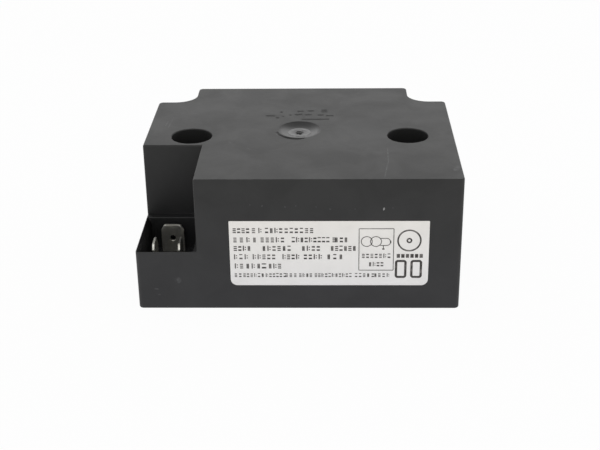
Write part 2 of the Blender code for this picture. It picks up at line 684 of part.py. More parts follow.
def make_switch(y, plastic, metal, steel):
    """The power transistor, the sink it is screwed to, and the screw with its nut."""
    body_x, tab_x, sink_x, nut_x, end_x = sink_planes()
    depth, width, height = TRANSISTOR_BODY
    low, high = SEAT + TRANSISTOR_LIFT, SEAT + TRANSISTOR_LIFT + height
    screw_z = high + TRANSISTOR_TAB_RISE / 2
    hole = SCREW_DIAMETER / 2 + GAP
    body = box((body_x, y - width / 2, low), (body_x + depth, y + width / 2, high))
    transistor = add_piece("switching_transistor", body, plastic)
    tab_low, tab_high = low + TRANSISTOR_TAB_INSET, high + TRANSISTOR_TAB_RISE
    tab_shape = rectangle(0, (tab_low + tab_high) / 2, width - 2 * GAP, tab_high - tab_low)
    tab = plate(tab_shape, 0, TRANSISTOR_TAB_THICKNESS, [circle(0, screw_z, hole, SMALL_SIDES)])
    combine(transistor, "UNION", add_cutter("transistor_tab", standing(tab, tab_x, y)))
    leg_x = body_x + depth / 2
    places = [(leg_x, y + TRANSISTOR_PITCH * step) for step in (-1, 0, 1)]
    holes = add_legs(transistor, places, low + SEAT_IN_BODY)

    sink_shape = rectangle(0, SEAT + SINK_HEIGHT / 2, SINK_WIDTH, SINK_HEIGHT)
    sink = plate(sink_shape, 0, SINK_THICKNESS, [circle(0, screw_z, hole, SMALL_SIDES)])
    add_piece("heat_sink", standing(sink, sink_x, y), metal)

    head = tab_x - GAP
    screw = turned([(0, end_x), (SCREW_DIAMETER / 2, end_x), (SCREW_DIAMETER / 2, head),
                    (SCREW_HEAD_DIAMETER / 2, head), (SCREW_HEAD_DIAMETER / 2, head - SCREW_HEAD_HEIGHT),
                    (0, head - SCREW_HEAD_HEIGHT)], SMALL_SIDES)
    add_piece("sink_screw", screw, steel, (0, y, screw_z), (0, math.pi / 2, 0))
    hexagon = circle(0, 0, NUT_ACROSS_CORNERS / 2, 6)
    nut = plate(hexagon, 0, NUT_THICKNESS, [circle(0, 0, hole, SMALL_SIDES)])
    add_piece("sink_nut", standing(nut, nut_x, y, screw_z), steel)

    head_x = min(body_x, head - SCREW_HEAD_HEIGHT)
    half, nut_half = SINK_WIDTH / 2, NUT_ACROSS_CORNERS / 2
    pockets = [
        ("switch", (head_x, y - width / 2, SEAT), (sink_x, y + width / 2, tab_high)),
        ("sink", (sink_x - GAP, y - half, SEAT), (sink_x + SINK_THICKNESS, y + half, SEAT + SINK_HEIGHT)),
        ("nut", (sink_x, y - nut_half, SEAT), (end_x, y + nut_half, screw_z + nut_half)),
    ]
    return holes, pockets


def make_board_parts(finishes):
    """Everything that stands on the board. Returns the board's holes and the resin's pockets."""
    holes, pockets = [], []
    low = BAY_RIGHT + BORE_WALL + GAP
    high = sink_planes()[0]
    front_y, rear_y = spread(BOARD_FRONT, BOARD_REAR - LEAD_STRIP,
                             [SUPPRESSION_CAPACITOR[1], RESERVOIR_DIAMETER])
    fuse_width = FUSE_RESISTOR[1] + 2 * RESISTOR_SPAN + LEG_DIAMETER
    front_row = spread(low, high, [SUPPRESSION_CAPACITOR[0], fuse_width, BRIDGE_RECTIFIER[0],
                                   TANK_CAPACITOR[0]])
    rear_row = spread(low, high, [VARISTOR_DIAMETER, CHOKE_DIAMETER, RESERVOIR_DIAMETER,
                                  SMALL_RESISTOR[0], SMALL_RESISTOR[0]])
    made = [
        make_block("suppression_capacitor", front_row[0], front_y, SUPPRESSION_CAPACITOR, CAPACITOR_PITCH, 2,
                   finishes["film"]),
        make_resistor("fuse_resistor", front_row[1], front_y, FUSE_RESISTOR, False, finishes["cement"]),
        make_block("bridge_rectifier", front_row[2], front_y, BRIDGE_RECTIFIER, BRIDGE_PITCH, 4,
                   finishes["epoxy"]),
        make_block("tank_capacitor", front_row[3], front_y, TANK_CAPACITOR, CAPACITOR_PITCH, 2,
                   finishes["film"]),
        make_varistor(rear_row[0], rear_y, finishes["varistor"]),
        make_choke(rear_row[1], rear_y, finishes["ferrite"], finishes["copper"]),
        make_reservoir(rear_row[2], rear_y, finishes["can"]),
        make_resistor("base_resistor", rear_row[3], rear_y, SMALL_RESISTOR, True, finishes["cement"]),
        make_resistor("feedback_resistor", rear_row[4], rear_y, SMALL_RESISTOR, True, finishes["cement"]),
    ]
    for made_holes, pocket in made:
        holes += made_holes
        pockets.append(pocket)
    switch_y = (BOARD_FRONT + BOARD_REAR - LEAD_STRIP) / 2
    switch_holes, switch_pockets = make_switch(switch_y, finishes["epoxy"], finishes["aluminium"],
                                               finishes["steel"])
    return holes + switch_holes, pockets + switch_pockets


def make_board(holes, finish):
    """The circuit board, drilled for every leg that passes through it."""
    outline = [(BOARD_LEFT, BOARD_FRONT), (BOARD_RIGHT, BOARD_FRONT), (BOARD_RIGHT, BOARD_REAR),
               (BOARD_LEFT, BOARD_REAR)]
    add_piece("circuit_board", plate(outline, BOARD_BOTTOM, BOARD_TOP, holes + blade_leg_holes()), finish)


# High-frequency transformer

FORMER_BORE = CORE_LEG / 2 + GAP
FORMER_HUB = FORMER_BORE * math.sqrt(2) + FORMER_WALL
PRIMARY_RADIUS = FORMER_HUB + GAP + PRIMARY_WINDING_DEPTH + FLANGE_LIP
SECONDARY_RADIUS = FORMER_HUB + GAP + SECONDARY_WINDING_DEPTH + FLANGE_LIP
CORE_HALF_LENGTH = SCREW_X - BORE_OUTER - CORE_SIDE_ROOM
WINDOW_HALF_LENGTH = CORE_HALF_LENGTH - CORE_LEG
SECONDARY_Y = REAR - WALL - GAP - REAR_ROOM - SECONDARY_RADIUS
PRIMARY_Y = SECONDARY_Y - SECONDARY_RADIUS - FORMER_ROOM - PRIMARY_RADIUS


def former_profile(radius, chambers):
    """Section of a former: a hub with a flange at each end and between its chambers."""
    half = WINDOW_HALF_LENGTH - GAP
    step = (2 * half - FLANGE) / chambers
    inner = FORMER_BORE / 2
    points = [(inner, half)]
    for index in range(chambers + 1):
        top = half - index * step
        points += [(radius, top), (radius, top - FLANGE)]
        if index < chambers:
            points += [(FORMER_HUB, top - FLANGE), (FORMER_HUB, top - step)]
    return points + [(inner, -half), (inner, half)]


def winding_spans(chambers):
    """Low and high ends of the winding in each chamber of a former."""
    half = WINDOW_HALF_LENGTH - GAP
    step = (2 * half - FLANGE) / chambers
    lows = [-half + FLANGE + index * step for index in range(chambers)]
    return [(low + GAP, low + step - FLANGE - GAP) for low in lows]


def make_former(name, y, radius, chambers, finish):
    """A former on its core leg, along X, with a square bore."""
    along_x = (0, math.pi / 2, 0)
    former = add_piece(name, turned(former_profile(radius, chambers)), finish, (0, y, CORE_Z), along_x)
    reach = WINDOW_HALF_LENGTH + OVERSHOOT
    bore = box((-reach, y - FORMER_BORE, CORE_Z - FORMER_BORE),
               (reach, y + FORMER_BORE, CORE_Z + FORMER_BORE))
    combine(former, "DIFFERENCE", add_cutter(f"{name}_bore", bore))


def make_transformer(finishes):
    """Two core halves, two formers and their windings."""
    half = CORE_LEG / 2
    front, rear = PRIMARY_Y - half, SECONDARY_Y + half
    front_inner, rear_inner = PRIMARY_Y + half, SECONDARY_Y - half
    for name, sign in (("core_half_left", -1), ("core_half_right", 1)):
        outer, inner, tip = sign * CORE_HALF_LENGTH, sign * WINDOW_HALF_LENGTH, sign * GAP / 2
        outline = [(outer, front), (tip, front), (tip, front_inner), (inner, front_inner),
                   (inner, rear_inner), (tip, rear_inner), (tip, rear), (outer, rear)]
        add_piece(name, plate(outline, CORE_Z - half, CORE_Z + half), finishes["ferrite"])
    make_former("primary_former", PRIMARY_Y, PRIMARY_RADIUS, 1, finishes["former"])
    make_former("secondary_former", SECONDARY_Y, SECONDARY_RADIUS, CHAMBERS, finishes["former"])
    along_x = (0, math.pi / 2, 0)
    low, high = winding_spans(1)[0]
    primary = ring(FORMER_HUB + GAP, PRIMARY_RADIUS - FLANGE_LIP, low, high)
    add_piece("primary_winding", primary, finishes["copper"], (0, PRIMARY_Y, CORE_Z), along_x)
    for number, (low, high) in enumerate(winding_spans(CHAMBERS), 1):
        section = ring(FORMER_HUB + GAP, SECONDARY_RADIUS - FLANGE_LIP, low, high)
        name = f"secondary_winding_{number}"
        add_piece(name, section, finishes["copper"], (0, SECONDARY_Y, CORE_Z), along_x)


def lead_routes():
    """Stops and diameter of each inner lead."""
    strip_y = BOARD_REAR - LEAD_STRIP / 2
    radius = LEAD_DIAMETER / 2
    winding_front = PRIMARY_Y - PRIMARY_RADIUS + FLANGE_LIP - GAP
    outlet_x = WINDOW_HALF_LENGTH / 2
    under_core = CORE_Z - CORE_LEG / 2 - GAP - CORE_LEG / 2
    yoke_x = (CORE_HALF_LENGTH + WINDOW_HALF_LENGTH) / 2
    over_core = CORE_Z + CORE_LEG
    hv_radius = HV_LEAD_DIAMETER / 2
    routes = {}
    for name, sign in (("primary_lead_start", -1), ("primary_lead_end", 1)):
        x = sign * outlet_x
        routes[name] = ([(x, winding_front, CORE_Z), (x, strip_y, CORE_Z), (x, strip_y, LEG_END)],
                        LEAD_DIAMETER)
    routes["earth_lead"] = ([(-WINDOW_HALF_LENGTH, SECONDARY_Y, under_core),
                             (-yoke_x, SECONDARY_Y, under_core), (-yoke_x, strip_y, under_core),
                             (-yoke_x, strip_y, LEG_END)], LEAD_DIAMETER)
    lead_y = PIN_INNER_END - GAP - LEAD_BEND - hv_radius - radius
    routes["high_voltage_lead"] = ([(WINDOW_HALF_LENGTH, lead_y, over_core), (SOCKET_X, lead_y, over_core),
                                    (SOCKET_X, lead_y, CORE_Z), (SOCKET_X, PIN_INNER_END - GAP, CORE_Z)],
                                   HV_LEAD_DIAMETER)
    return routes


def make_leads(finishes):
    """The four leads between windings, board and high-voltage pin. Returns the board's holes."""
    holes = []
    for name, (stops, diameter) in lead_routes().items():
        add_piece(name, wire(stops, diameter), finishes["sleeve"])
        if stops[-1][2] == LEG_END:
            holes.append(circle(stops[-1][0], stops[-1][1], diameter / 2 + GAP, WIRE_SIDES))
    return holes


def make_pin(finish):
    """The high-voltage pin, held in the socket's floor."""
    length = REAR - PIN_BELOW_MOUTH - PIN_INNER_END
    radius = PIN_DIAMETER / 2
    tip = radius / 2
    shape = turned([(0, length), (radius, length), (radius, tip), (tip, 0), (0, 0)])
    add_piece("high_voltage_pin", shape, finish, (SOCKET_X, REAR - PIN_BELOW_MOUTH, CORE_Z),
              (math.pi / 2, 0, 0))


# Resin

def make_resin(pockets, finish):
    """The resin in two pours: one fills the case round everything in it, one closes the base."""
    closing = add_piece("closing_resin", plate(case_outline(WALL + GAP), RESIN_FACE, CLOSING_TOP), finish)
    combine(closing, "DIFFERENCE", *bore_tubes("under", GAP))
    top = ROOF_INSIDE - GAP
    resin = add_piece("potting_resin", plate(case_outline(WALL + GAP), CLOSING_TOP + GAP, top), finish)
    combine(resin, "DIFFERENCE", *keep_clear("around", GAP))
    board = box((BOARD_LEFT - OVERSHOOT, BOARD_FRONT - OVERSHOOT, RESIN_FACE),
                (BOARD_RIGHT + OVERSHOOT, BOARD_REAR + GAP, SEAT))
    combine(resin, "DIFFERENCE", add_cutter("around_board", board))
    for name, low, high in pockets:
        grown = box([value - GAP for value in low], [value + GAP for value in high])
        combine(resin, "DIFFERENCE", add_cutter(f"around_{name}", grown))
    half = CORE_LEG / 2 + GAP
    core = box((-CORE_HALF_LENGTH - GAP, PRIMARY_Y - half, CORE_Z - half),
               (CORE_HALF_LENGTH + GAP, SECONDARY_Y + half, CORE_Z + half))
    combine(resin, "DIFFERENCE", add_cutter("around_core", core))
    windings = (("primary", PRIMARY_Y, PRIMARY_RADIUS), ("secondary", SECONDARY_Y, SECONDARY_RADIUS))
    for name, y, radius in windings:
        cylinder = rod(radius + GAP, -WINDOW_HALF_LENGTH, WINDOW_HALF_LENGTH)
        around = add_cutter(f"around_{name}", cylinder, (0, y, CORE_Z), (0, math.pi / 2, 0))
        combine(resin, "DIFFERENCE", around)
    for name, (stops, diameter) in lead_routes().items():
        channel = wire(stops, diameter + 2 * GAP)
        combine(resin, "DIFFERENCE", add_cutter(f"around_{name}", channel))
    tail = rod(PIN_DIAMETER / 2 + GAP, 0, PIN_TAIL + 2 * GAP)
    combine(resin, "DIFFERENCE", add_cutter("around_pin", tail, (SOCKET_X, SOCKET_BACK + GAP / 2, CORE_Z),
                                            (math.pi / 2, 0, 0)))


def make_finishes():
    """The colours and surfaces of the real pieces."""
    return {
        "case": make_finish("black_moulded_nylon", (0.022, 0.022, 0.023), 0.55),
        "label": make_finish("label_film", (0.72, 0.71, 0.70), 0.5),
        "blade": make_finish("tinned_brass", (0.55, 0.54, 0.50), 0.3, 1.0),
        "pin": make_finish("brass", (0.60, 0.45, 0.20), 0.3, 1.0),
        "resin": make_finish("potting_resin", (0.03, 0.028, 0.027), 0.35),
        "board": make_finish("board_laminate", (0.35, 0.25, 0.09), 0.5),
        "film": make_finish("capacitor_box", (0.45, 0.28, 0.03), 0.45),
        "epoxy": make_finish("black_epoxy", (0.015, 0.015, 0.016), 0.5),
        "cement": make_finish("resistor_coat", (0.12, 0.22, 0.28), 0.5),
        "varistor": make_finish("varistor_coat", (0.02, 0.08, 0.25), 0.4),
        "can": make_finish("sleeved_can", (0.02, 0.03, 0.06), 0.35),
        "ferrite": make_finish("ferrite", (0.035, 0.035, 0.038), 0.6),
        "copper": make_finish("enamelled_copper", (0.42, 0.13, 0.04), 0.35, 1.0),
        "former": make_finish("former_plastic", (0.55, 0.53, 0.48), 0.5),
        "sleeve": make_finish("lead_sleeve", (0.35, 0.03, 0.02), 0.5),
        "aluminium": make_finish("aluminium", (0.60, 0.60, 0.61), 0.35, 1.0),
        "steel": make_finish("zinc_plated_steel", (0.50, 0.51, 0.52), 0.3, 1.0),
    }


def build():
    """Make the whole unit."""
    clear_scene()
    finishes = make_finishes()
    make_case(finishes["case"])
    make_label(finishes["label"])
    make_blades(finishes["blade"])
    holes, pockets = make_board_parts(finishes)
    make_transformer(finishes)
    holes += make_leads(finishes)
    make_board(holes, finishes["board"])
    make_pin(finishes["pin"])
    make_resin(pockets, finishes["resin"])
    centre = bpy.data.objects.new("unit", None)
    PRODUCT.objects.link(centre)
    for piece in PRODUCT.objects:
        if piece is not centre:
            piece.parent = centre


build()
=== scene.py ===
# %% [markdown]
# # Dressing a potted ignition transformer
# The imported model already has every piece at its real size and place. This script gives those pieces
# the fine shapes and the finishes of the real thing: a black moulded case, a printed label, tinned
# blades and poured resin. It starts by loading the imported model, which stays fixed from here on.

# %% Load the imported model
import json
import math

import bmesh
import bpy
from mathutils import Matrix, Vector, noise


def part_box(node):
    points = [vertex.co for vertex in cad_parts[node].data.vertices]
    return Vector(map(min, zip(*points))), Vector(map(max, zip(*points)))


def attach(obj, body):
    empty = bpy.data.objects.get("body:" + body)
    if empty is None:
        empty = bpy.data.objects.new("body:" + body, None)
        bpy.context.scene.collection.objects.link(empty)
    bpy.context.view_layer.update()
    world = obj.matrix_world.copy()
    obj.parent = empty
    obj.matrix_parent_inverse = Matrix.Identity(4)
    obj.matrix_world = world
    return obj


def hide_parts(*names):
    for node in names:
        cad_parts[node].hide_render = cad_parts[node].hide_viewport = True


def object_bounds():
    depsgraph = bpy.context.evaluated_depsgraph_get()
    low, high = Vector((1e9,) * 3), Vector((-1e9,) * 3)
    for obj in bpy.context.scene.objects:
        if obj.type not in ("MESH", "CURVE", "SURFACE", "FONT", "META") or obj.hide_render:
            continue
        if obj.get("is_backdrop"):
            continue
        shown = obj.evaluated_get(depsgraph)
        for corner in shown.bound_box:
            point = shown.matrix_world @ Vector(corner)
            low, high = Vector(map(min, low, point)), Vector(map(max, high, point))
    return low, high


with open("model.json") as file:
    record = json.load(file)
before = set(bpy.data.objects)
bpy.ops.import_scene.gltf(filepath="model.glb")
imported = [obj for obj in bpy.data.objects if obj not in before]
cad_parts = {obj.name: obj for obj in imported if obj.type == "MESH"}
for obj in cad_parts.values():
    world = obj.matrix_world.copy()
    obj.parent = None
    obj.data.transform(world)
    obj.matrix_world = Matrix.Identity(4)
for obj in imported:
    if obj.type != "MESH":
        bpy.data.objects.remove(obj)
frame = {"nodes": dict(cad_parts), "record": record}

MM = 0.001
CAD_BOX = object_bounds()
print("loaded", len(frame["nodes"]), "pieces")

# %% [markdown]
# ## Planes and centres from the frame
# Nothing here is placed by eye. The faces of the case, the label and the resin come from the boxes of
# their solids, and the centres of the screw bores and the socket from the rooms that the record keeps
# free in them. The few sizes that no box gives are written once, in millimetres.

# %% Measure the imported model
case_low, case_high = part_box("case")
label_low, label_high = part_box("rating_label")
blade_low, blade_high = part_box("earth_blade")
pin_low, pin_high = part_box("high_voltage_pin")
resin_low, resin_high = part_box("closing_resin")
rooms = {room["name"]: [Vector(corner) for corner in room["box_m"]]
         for room in frame["record"]["physics"]["openings"]}


def middle(room):
    """Centre of a room that the record keeps free."""
    low, high = rooms[room]
    return (low + high) / 2


LEFT, FRONT, TOP = case_low.x, case_low.y, case_high.z
RIGHT, REAR = case_high.x, case_high.y
BORES = [middle("head_bore_left").xy, middle("head_bore_right").xy]
SOCKET = middle("high_voltage_socket")
BORE_OUTLINE = 7.55 * MM
WALL = 2.0 * MM
print("case", [round(value / MM, 2) for value in (case_high - case_low)], "mm")

# %% [markdown]
# ## Camera
# The photograph was taken from a little right of the middle, 25 degrees above the bench, with a long
# lens. Setting the direction as three angles keeps it readable: yaw about the vertical, pitch below the
# horizon, roll about the view.

# %% Set the camera
CAMERA_PLACE = Vector((8.656, -311.935, 154.992)) * MM
CAMERA_YAW = math.radians(-1.65)
CAMERA_PITCH = math.radians(25.258)
CAMERA_ROLL = math.radians(-0.77)
SENSOR_WIDTH = 36.0
FOCAL_LENGTH = 70.878

view = Vector((math.sin(CAMERA_YAW) * math.cos(CAMERA_PITCH),
               math.cos(CAMERA_YAW) * math.cos(CAMERA_PITCH), -math.sin(CAMERA_PITCH)))
level = Vector((math.cos(CAMERA_YAW), -math.sin(CAMERA_YAW), 0.0))
upward = level.cross(view)
side = math.cos(CAMERA_ROLL) * level + math.sin(CAMERA_ROLL) * upward
above = math.cos(CAMERA_ROLL) * upward - math.sin(CAMERA_ROLL) * level

lens = bpy.data.cameras.new("portrait")
lens.sensor_fit = "HORIZONTAL"
lens.sensor_width = SENSOR_WIDTH
lens.lens = FOCAL_LENGTH
lens.clip_start = 0.01
camera = bpy.data.objects.new("portrait", lens)
camera.matrix_world = Matrix.Translation(CAMERA_PLACE) @ Matrix((side, above, -view)).transposed().to_4x4()
bpy.context.scene.collection.objects.link(camera)
bpy.context.scene.camera = camera
bpy.context.scene.view_settings.view_transform = "Standard"
print("camera", [round(value / MM) for value in CAMERA_PLACE], "mm")

# %% [markdown]
# ## Building a node tree
# Every material below is a small node tree. One function adds a node, sets its options and fills or
# links its inputs, so that each material reads from top to bottom. Colours are written as sRGB hex
# values, the way they are read off a screen, and one function turns them to linear light.

# %% Helpers for node trees
def put(tree, kind, inputs=None, **settings):
    """Add a node by its Blender name, in which ShaderNode may be left out.

    An input is a value, a hex colour, a socket, a node that gives its first socket in use, or a list.
    """
    node = tree.nodes.new(kind if "Node" in kind else f"ShaderNode{kind}")
    for name, value in settings.items():
        setattr(node, name, value)
    for name, value in (inputs or {}).items():
        for source in value if isinstance(value, list) else [value]:
            if isinstance(source, bpy.types.Node):
                source = next(socket for socket in source.outputs if socket.enabled)
            if isinstance(source, bpy.types.NodeSocket):
                tree.links.new(source, node.inputs[name])
            elif isinstance(source, str) and source.startswith("#"):
                node.inputs[name].default_value = linear(source)
            else:
                node.inputs[name].default_value = source
    return node


def linear(hex_colour):
    """Linear RGBA of an sRGB hex colour."""
    channels = [int(hex_colour[place:place + 2], 16) / 255 for place in (1, 3, 5)]
    return tuple(c / 12.92 if c <= 0.04045 else ((c + 0.055) / 1.055) ** 2.4 for c in channels) + (1.0,)


def new_finish(name):
    """An empty material, its node tree, and the point on the piece that is being coloured."""
    finish = bpy.data.materials.new(name)
    finish.use_nodes = True
    tree = finish.node_tree
    tree.nodes.clear()
    return finish, tree, put(tree, "TexCoord").outputs["Object"]


def scale_for(size):
    """Scale of a texture whose features are to be this many metres across."""
    return 1.0 / size


print("helpers for node trees are ready")

# %% [markdown]
# ## Floor
# The photograph was taken in a white tent, where the bench fades to white. Plain paper would come out
# grey here, and a stronger lamp would wash out the object. So the pale floor also shines a little to the
# camera, which gives that white and keeps a faint shadow. It is clear from below, so that the base can
# be looked at.

# %% Build the stage
FLOOR_SIZE = 6.0
FLOOR_GLOW = 0.96
FLOOR_IN_GLOSS = 0.76


def floor_finish():
    """Matt white bench paper that reads as white to the camera."""
    finish, tree = new_finish("matt_bench_paper")[:2]
    path = put(tree, "LightPath").outputs
    fibres = put(tree, "TexNoise", {"Scale": scale_for(40 * MM), "Detail": 3.0})
    tint = put(tree, "Mix", {0: fibres, 6: "#e2e2e2", 7: "#eaeaea"}, data_type="RGBA")
    paper = put(tree, "BsdfDiffuse", {"Color": tint})
    glow = put(tree, "Emission", {"Color": (1.0, 1.0, 1.0, 1.0), "Strength": 1.0})
    mirrored = put(tree, "Math", {0: path["Is Glossy Ray"], 1: path["Is Transmission Ray"]},
                   operation="MAXIMUM")
    seen = put(tree, "Math", {0: path["Is Camera Ray"], 1: FLOOR_GLOW}, operation="MULTIPLY")
    reflected = put(tree, "Math", {0: mirrored, 1: FLOOR_IN_GLOSS}, operation="MULTIPLY")
    share = put(tree, "Math", {0: seen, 1: reflected}, operation="MAXIMUM")
    white = put(tree, "MixShader", {0: share, 1: paper, 2: glow})
    below = put(tree, "NewGeometry").outputs["Backfacing"]
    clear = put(tree, "BsdfTransparent")
    shown = put(tree, "MixShader", {0: below, 1: white, 2: clear})
    put(tree, "OutputMaterial", {"Surface": shown})
    return finish


bench = bpy.data.meshes.new("bench")
sheet = bmesh.new()
bmesh.ops.create_grid(sheet, x_segments=1, y_segments=1, size=FLOOR_SIZE / 2)
sheet.to_mesh(bench)
sheet.free()
bench.materials.append(floor_finish())
floor = bpy.data.objects.new("floor", bench)
bpy.context.scene.collection.objects.link(floor)
floor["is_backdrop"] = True
print("floor", FLOOR_SIZE, "m wide")

# %% [markdown]
# ## Light
# The tent gives soft light from every side, so the world itself is the main lamp. It is brightest in a
# strip low at the back, which the roof mirrors, dimmer above it, and darker where the camera stands. One
# soft panel hangs over the camera and lights the edges that face it.

# %% Light the stage
TENT_STRENGTH = 0.80
BACK_EXTRA = 0.9
BACK_LOW_SHARE = 0.2
BACK_HIGH_LOSS = 0.3
CAMERA_SIDE_LOSS = 0.5
CAMERA_SIDE_REACH = math.radians(16)
PANEL_POWER = 0.62
PANEL_SIZE = 0.42
PANEL_PLACE = Vector((0.0, -0.62, 0.58))

tent = bpy.data.worlds.new("light_tent")
tent.use_nodes = True
cloth = tent.node_tree
cloth.nodes.clear()
toward = put(cloth, "TexCoord").outputs["Generated"]
axes = put(cloth, "SeparateXYZ", {0: toward}).outputs
back = put(cloth, "MapRange", {"Value": axes["Y"], "From Max": 0.5}, interpolation_type="SMOOTHSTEP")
rising = put(cloth, "MapRange", {"Value": axes["Z"], "From Min": 0.0, "From Max": 0.25,
                                 "To Min": BACK_LOW_SHARE}, interpolation_type="SMOOTHSTEP")
fading = put(cloth, "MapRange", {"Value": axes["Z"], "From Min": 0.4, "From Max": 0.7, "To Min": BACK_EXTRA,
                                 "To Max": -BACK_HIGH_LOSS}, interpolation_type="SMOOTHSTEP")
by_height = put(cloth, "Math", {0: rising, 1: fading}, operation="MULTIPLY")
to_camera = put(cloth, "VectorMath", {0: toward, 1: tuple(-view)}, operation="DOT_PRODUCT")
shadow = put(cloth, "MapRange", {"Value": to_camera, "From Min": math.cos(CAMERA_SIDE_REACH),
                                 "From Max": 1.0, "To Max": CAMERA_SIDE_LOSS},
             interpolation_type="SMOOTHSTEP")
back_light = put(cloth, "Math", {0: back, 1: by_height}, operation="MULTIPLY")
strength = put(cloth, "Math", {0: TENT_STRENGTH, 1: back_light}, operation="ADD")
strength = put(cloth, "Math", {0: strength, 1: shadow}, operation="SUBTRACT")
sky = put(cloth, "Background", {"Color": (1.0, 1.0, 1.0, 1.0), "Strength": strength})
put(cloth, "OutputWorld", {"Surface": sky})
bpy.context.scene.world = tent

panel = bpy.data.lights.new("panel", "AREA")
panel.shape = "SQUARE"
panel.size = PANEL_SIZE
panel.energy = PANEL_POWER
panel_stand = bpy.data.objects.new("panel", panel)
panel_stand.location = PANEL_PLACE
panel_stand.rotation_euler = (-PANEL_PLACE).to_track_quat("-Z", "Y").to_euler()
bpy.context.scene.collection.objects.link(panel_stand)
print("tent and panel are up")

# %% [markdown]
# ## Making solids from outlines
# Nearly everything on the case is an outline with rounded corners, pulled through some heights: the
# case itself, its bores, the bay and the socket. One function rounds an outline, and one lofts a closed
# body through a stack of loops. Cutters made this way carry their own rounded rims, so no bevel is
# needed after the Booleans, where it would be fragile.

# %% Helpers for shapes
INWARD_SHARE = 0.1


def rounded(corners):
    """A closed outline through (x, y, radius, steps) corners, with an arc at each of them."""
    points = []
    for index, (x, y, radius, steps) in enumerate(corners):
        corner = Vector((x, y))
        if not radius:
            points.append(corner)
            continue
        before = (Vector(corners[index - 1][:2]) - corner).normalized()
        after = (Vector(corners[(index + 1) % len(corners)][:2]) - corner).normalized()
        half = before.angle(after) / 2
        centre = corner + (before + after).normalized() * (radius / math.sin(half))
        start = corner + before * (radius / math.tan(half)) - centre
        end = corner + after * (radius / math.tan(half)) - centre
        sweep = math.pi - 2 * half
        for step in range(steps + 1):
            turn = sweep * step / steps
            arm = (start * math.sin(sweep - turn) + end * math.sin(turn)) / math.sin(sweep)
            points.append(centre + arm)
    return points


def at_height(outline, height):
    """An outline as a loop in space."""
    return [(x, y, height) for x, y in outline]


def rounded_box(low, high, *corner):
    """A rectangle between two points, with a radius and its steps at each corner."""
    places = (low, (high[0], low[1]), high, (low[0], high[1]))
    return rounded([(*place, *corner) for place in places])


def circle(centre, radius, sides):
    """A round outline."""
    angles = [math.tau * (step + 0.5) / sides for step in range(sides)]
    return [(centre[0] + radius * math.cos(angle), centre[1] + radius * math.sin(angle)) for angle in angles]


def as_mesh(shape, name):
    """A mesh of a shape that has been built up, which is then let go."""
    mesh = bpy.data.meshes.new(name)
    shape.to_mesh(mesh)
    shape.free()
    return mesh


def lofted(name, loops):
    """A closed body through loops with equally many points, capped flat at both ends."""
    shape = bmesh.new()
    rows = [[shape.verts.new(point) for point in loop] for loop in loops]
    count = len(rows[0])
    for low, high in zip(rows, rows[1:]):
        for place in range(count):
            following = (place + 1) % count
            shape.faces.new((low[place], low[following], high[following], high[place]))
    shape.faces.new(list(reversed(rows[0])))
    shape.faces.new(rows[-1])
    bmesh.ops.recalc_face_normals(shape, faces=shape.faces)
    return as_mesh(shape, name)


def helper_object(mesh, name):
    """A linked object that only lives while a piece is made."""
    helper = bpy.data.objects.new(name, mesh)
    bpy.context.scene.collection.objects.link(helper)
    return helper


def evaluated(helper):
    """Mesh of a helper with its modifiers applied. The helper is removed."""
    graph = bpy.context.evaluated_depsgraph_get()
    mesh = bpy.data.meshes.new_from_object(helper.evaluated_get(graph))
    bpy.data.objects.remove(helper, do_unlink=True)
    return mesh


def cut(mesh, cutters):
    """A mesh with cutter meshes taken off it, one after another."""
    target = helper_object(mesh, "target")
    tools = [helper_object(cutter, "tool") for cutter in cutters]
    for tool in tools:
        step = target.modifiers.new("cut", "BOOLEAN")
        step.operation = "DIFFERENCE"
        step.object = tool
        step.solver = "EXACT"
    result = evaluated(target)
    for tool in tools:
        bpy.data.objects.remove(tool, do_unlink=True)
    return result


def softened(mesh, width, segments, sharpest=50):
    """A mesh with its sharp edges rounded: fully where they point outward, barely where they point inward."""
    shape = bmesh.new()
    shape.from_mesh(mesh)
    weight = shape.edges.layers.float.new("bevel_weight_edge")
    for edge in shape.edges:
        angle = edge.calc_face_angle_signed(0.0)
        if abs(angle) > math.radians(sharpest):
            edge[weight] = 1.0 if angle > 0 else INWARD_SHARE
    shape.to_mesh(mesh)
    shape.free()
    target = helper_object(mesh, "target")
    bevel = target.modifiers.new("round", "BEVEL")
    bevel.width = width
    bevel.segments = segments
    bevel.limit_method = "WEIGHT"
    return evaluated(target)


def shaded(mesh, sharp=38):
    """Smooth shading with sharp edges kept, and normals that leave the flat faces flat."""
    mesh.shade_smooth()
    mesh.set_sharp_from_angle(angle=math.radians(sharp))
    target = helper_object(mesh, "target")
    target.modifiers.new("flat faces", "WEIGHTED_NORMAL").keep_sharp = True
    return evaluated(target)


def add_piece(name, mesh, finish, slot, *stands_for):
    """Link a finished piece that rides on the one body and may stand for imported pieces."""
    piece = bpy.data.objects.new(name, mesh)
    mesh.name = name
    mesh.materials.clear()
    mesh.materials.append(finish)
    bpy.context.scene.collection.objects.link(piece)
    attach(piece, "root")
    if stands_for:
        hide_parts(*stands_for)
    print(name, "has", len(mesh.polygons), "faces")


print("helpers for shapes are ready")

# %% [markdown]
# ## The case's outer form
# The case is one moulding of glass-filled nylon, open at the base until the resin closes it. Seen from
# above it is broad for most of its depth, where its two ears take the screws, and wide fillets lead into
# a narrower block at the rear. It could be cut from a box, but the outline drawn once and pulled up is
# shorter, and the fillets are true arcs. The corner over the terminal bay is cut away before the edges
# are rounded, so that its edges get the same radius, as they do in the mould.

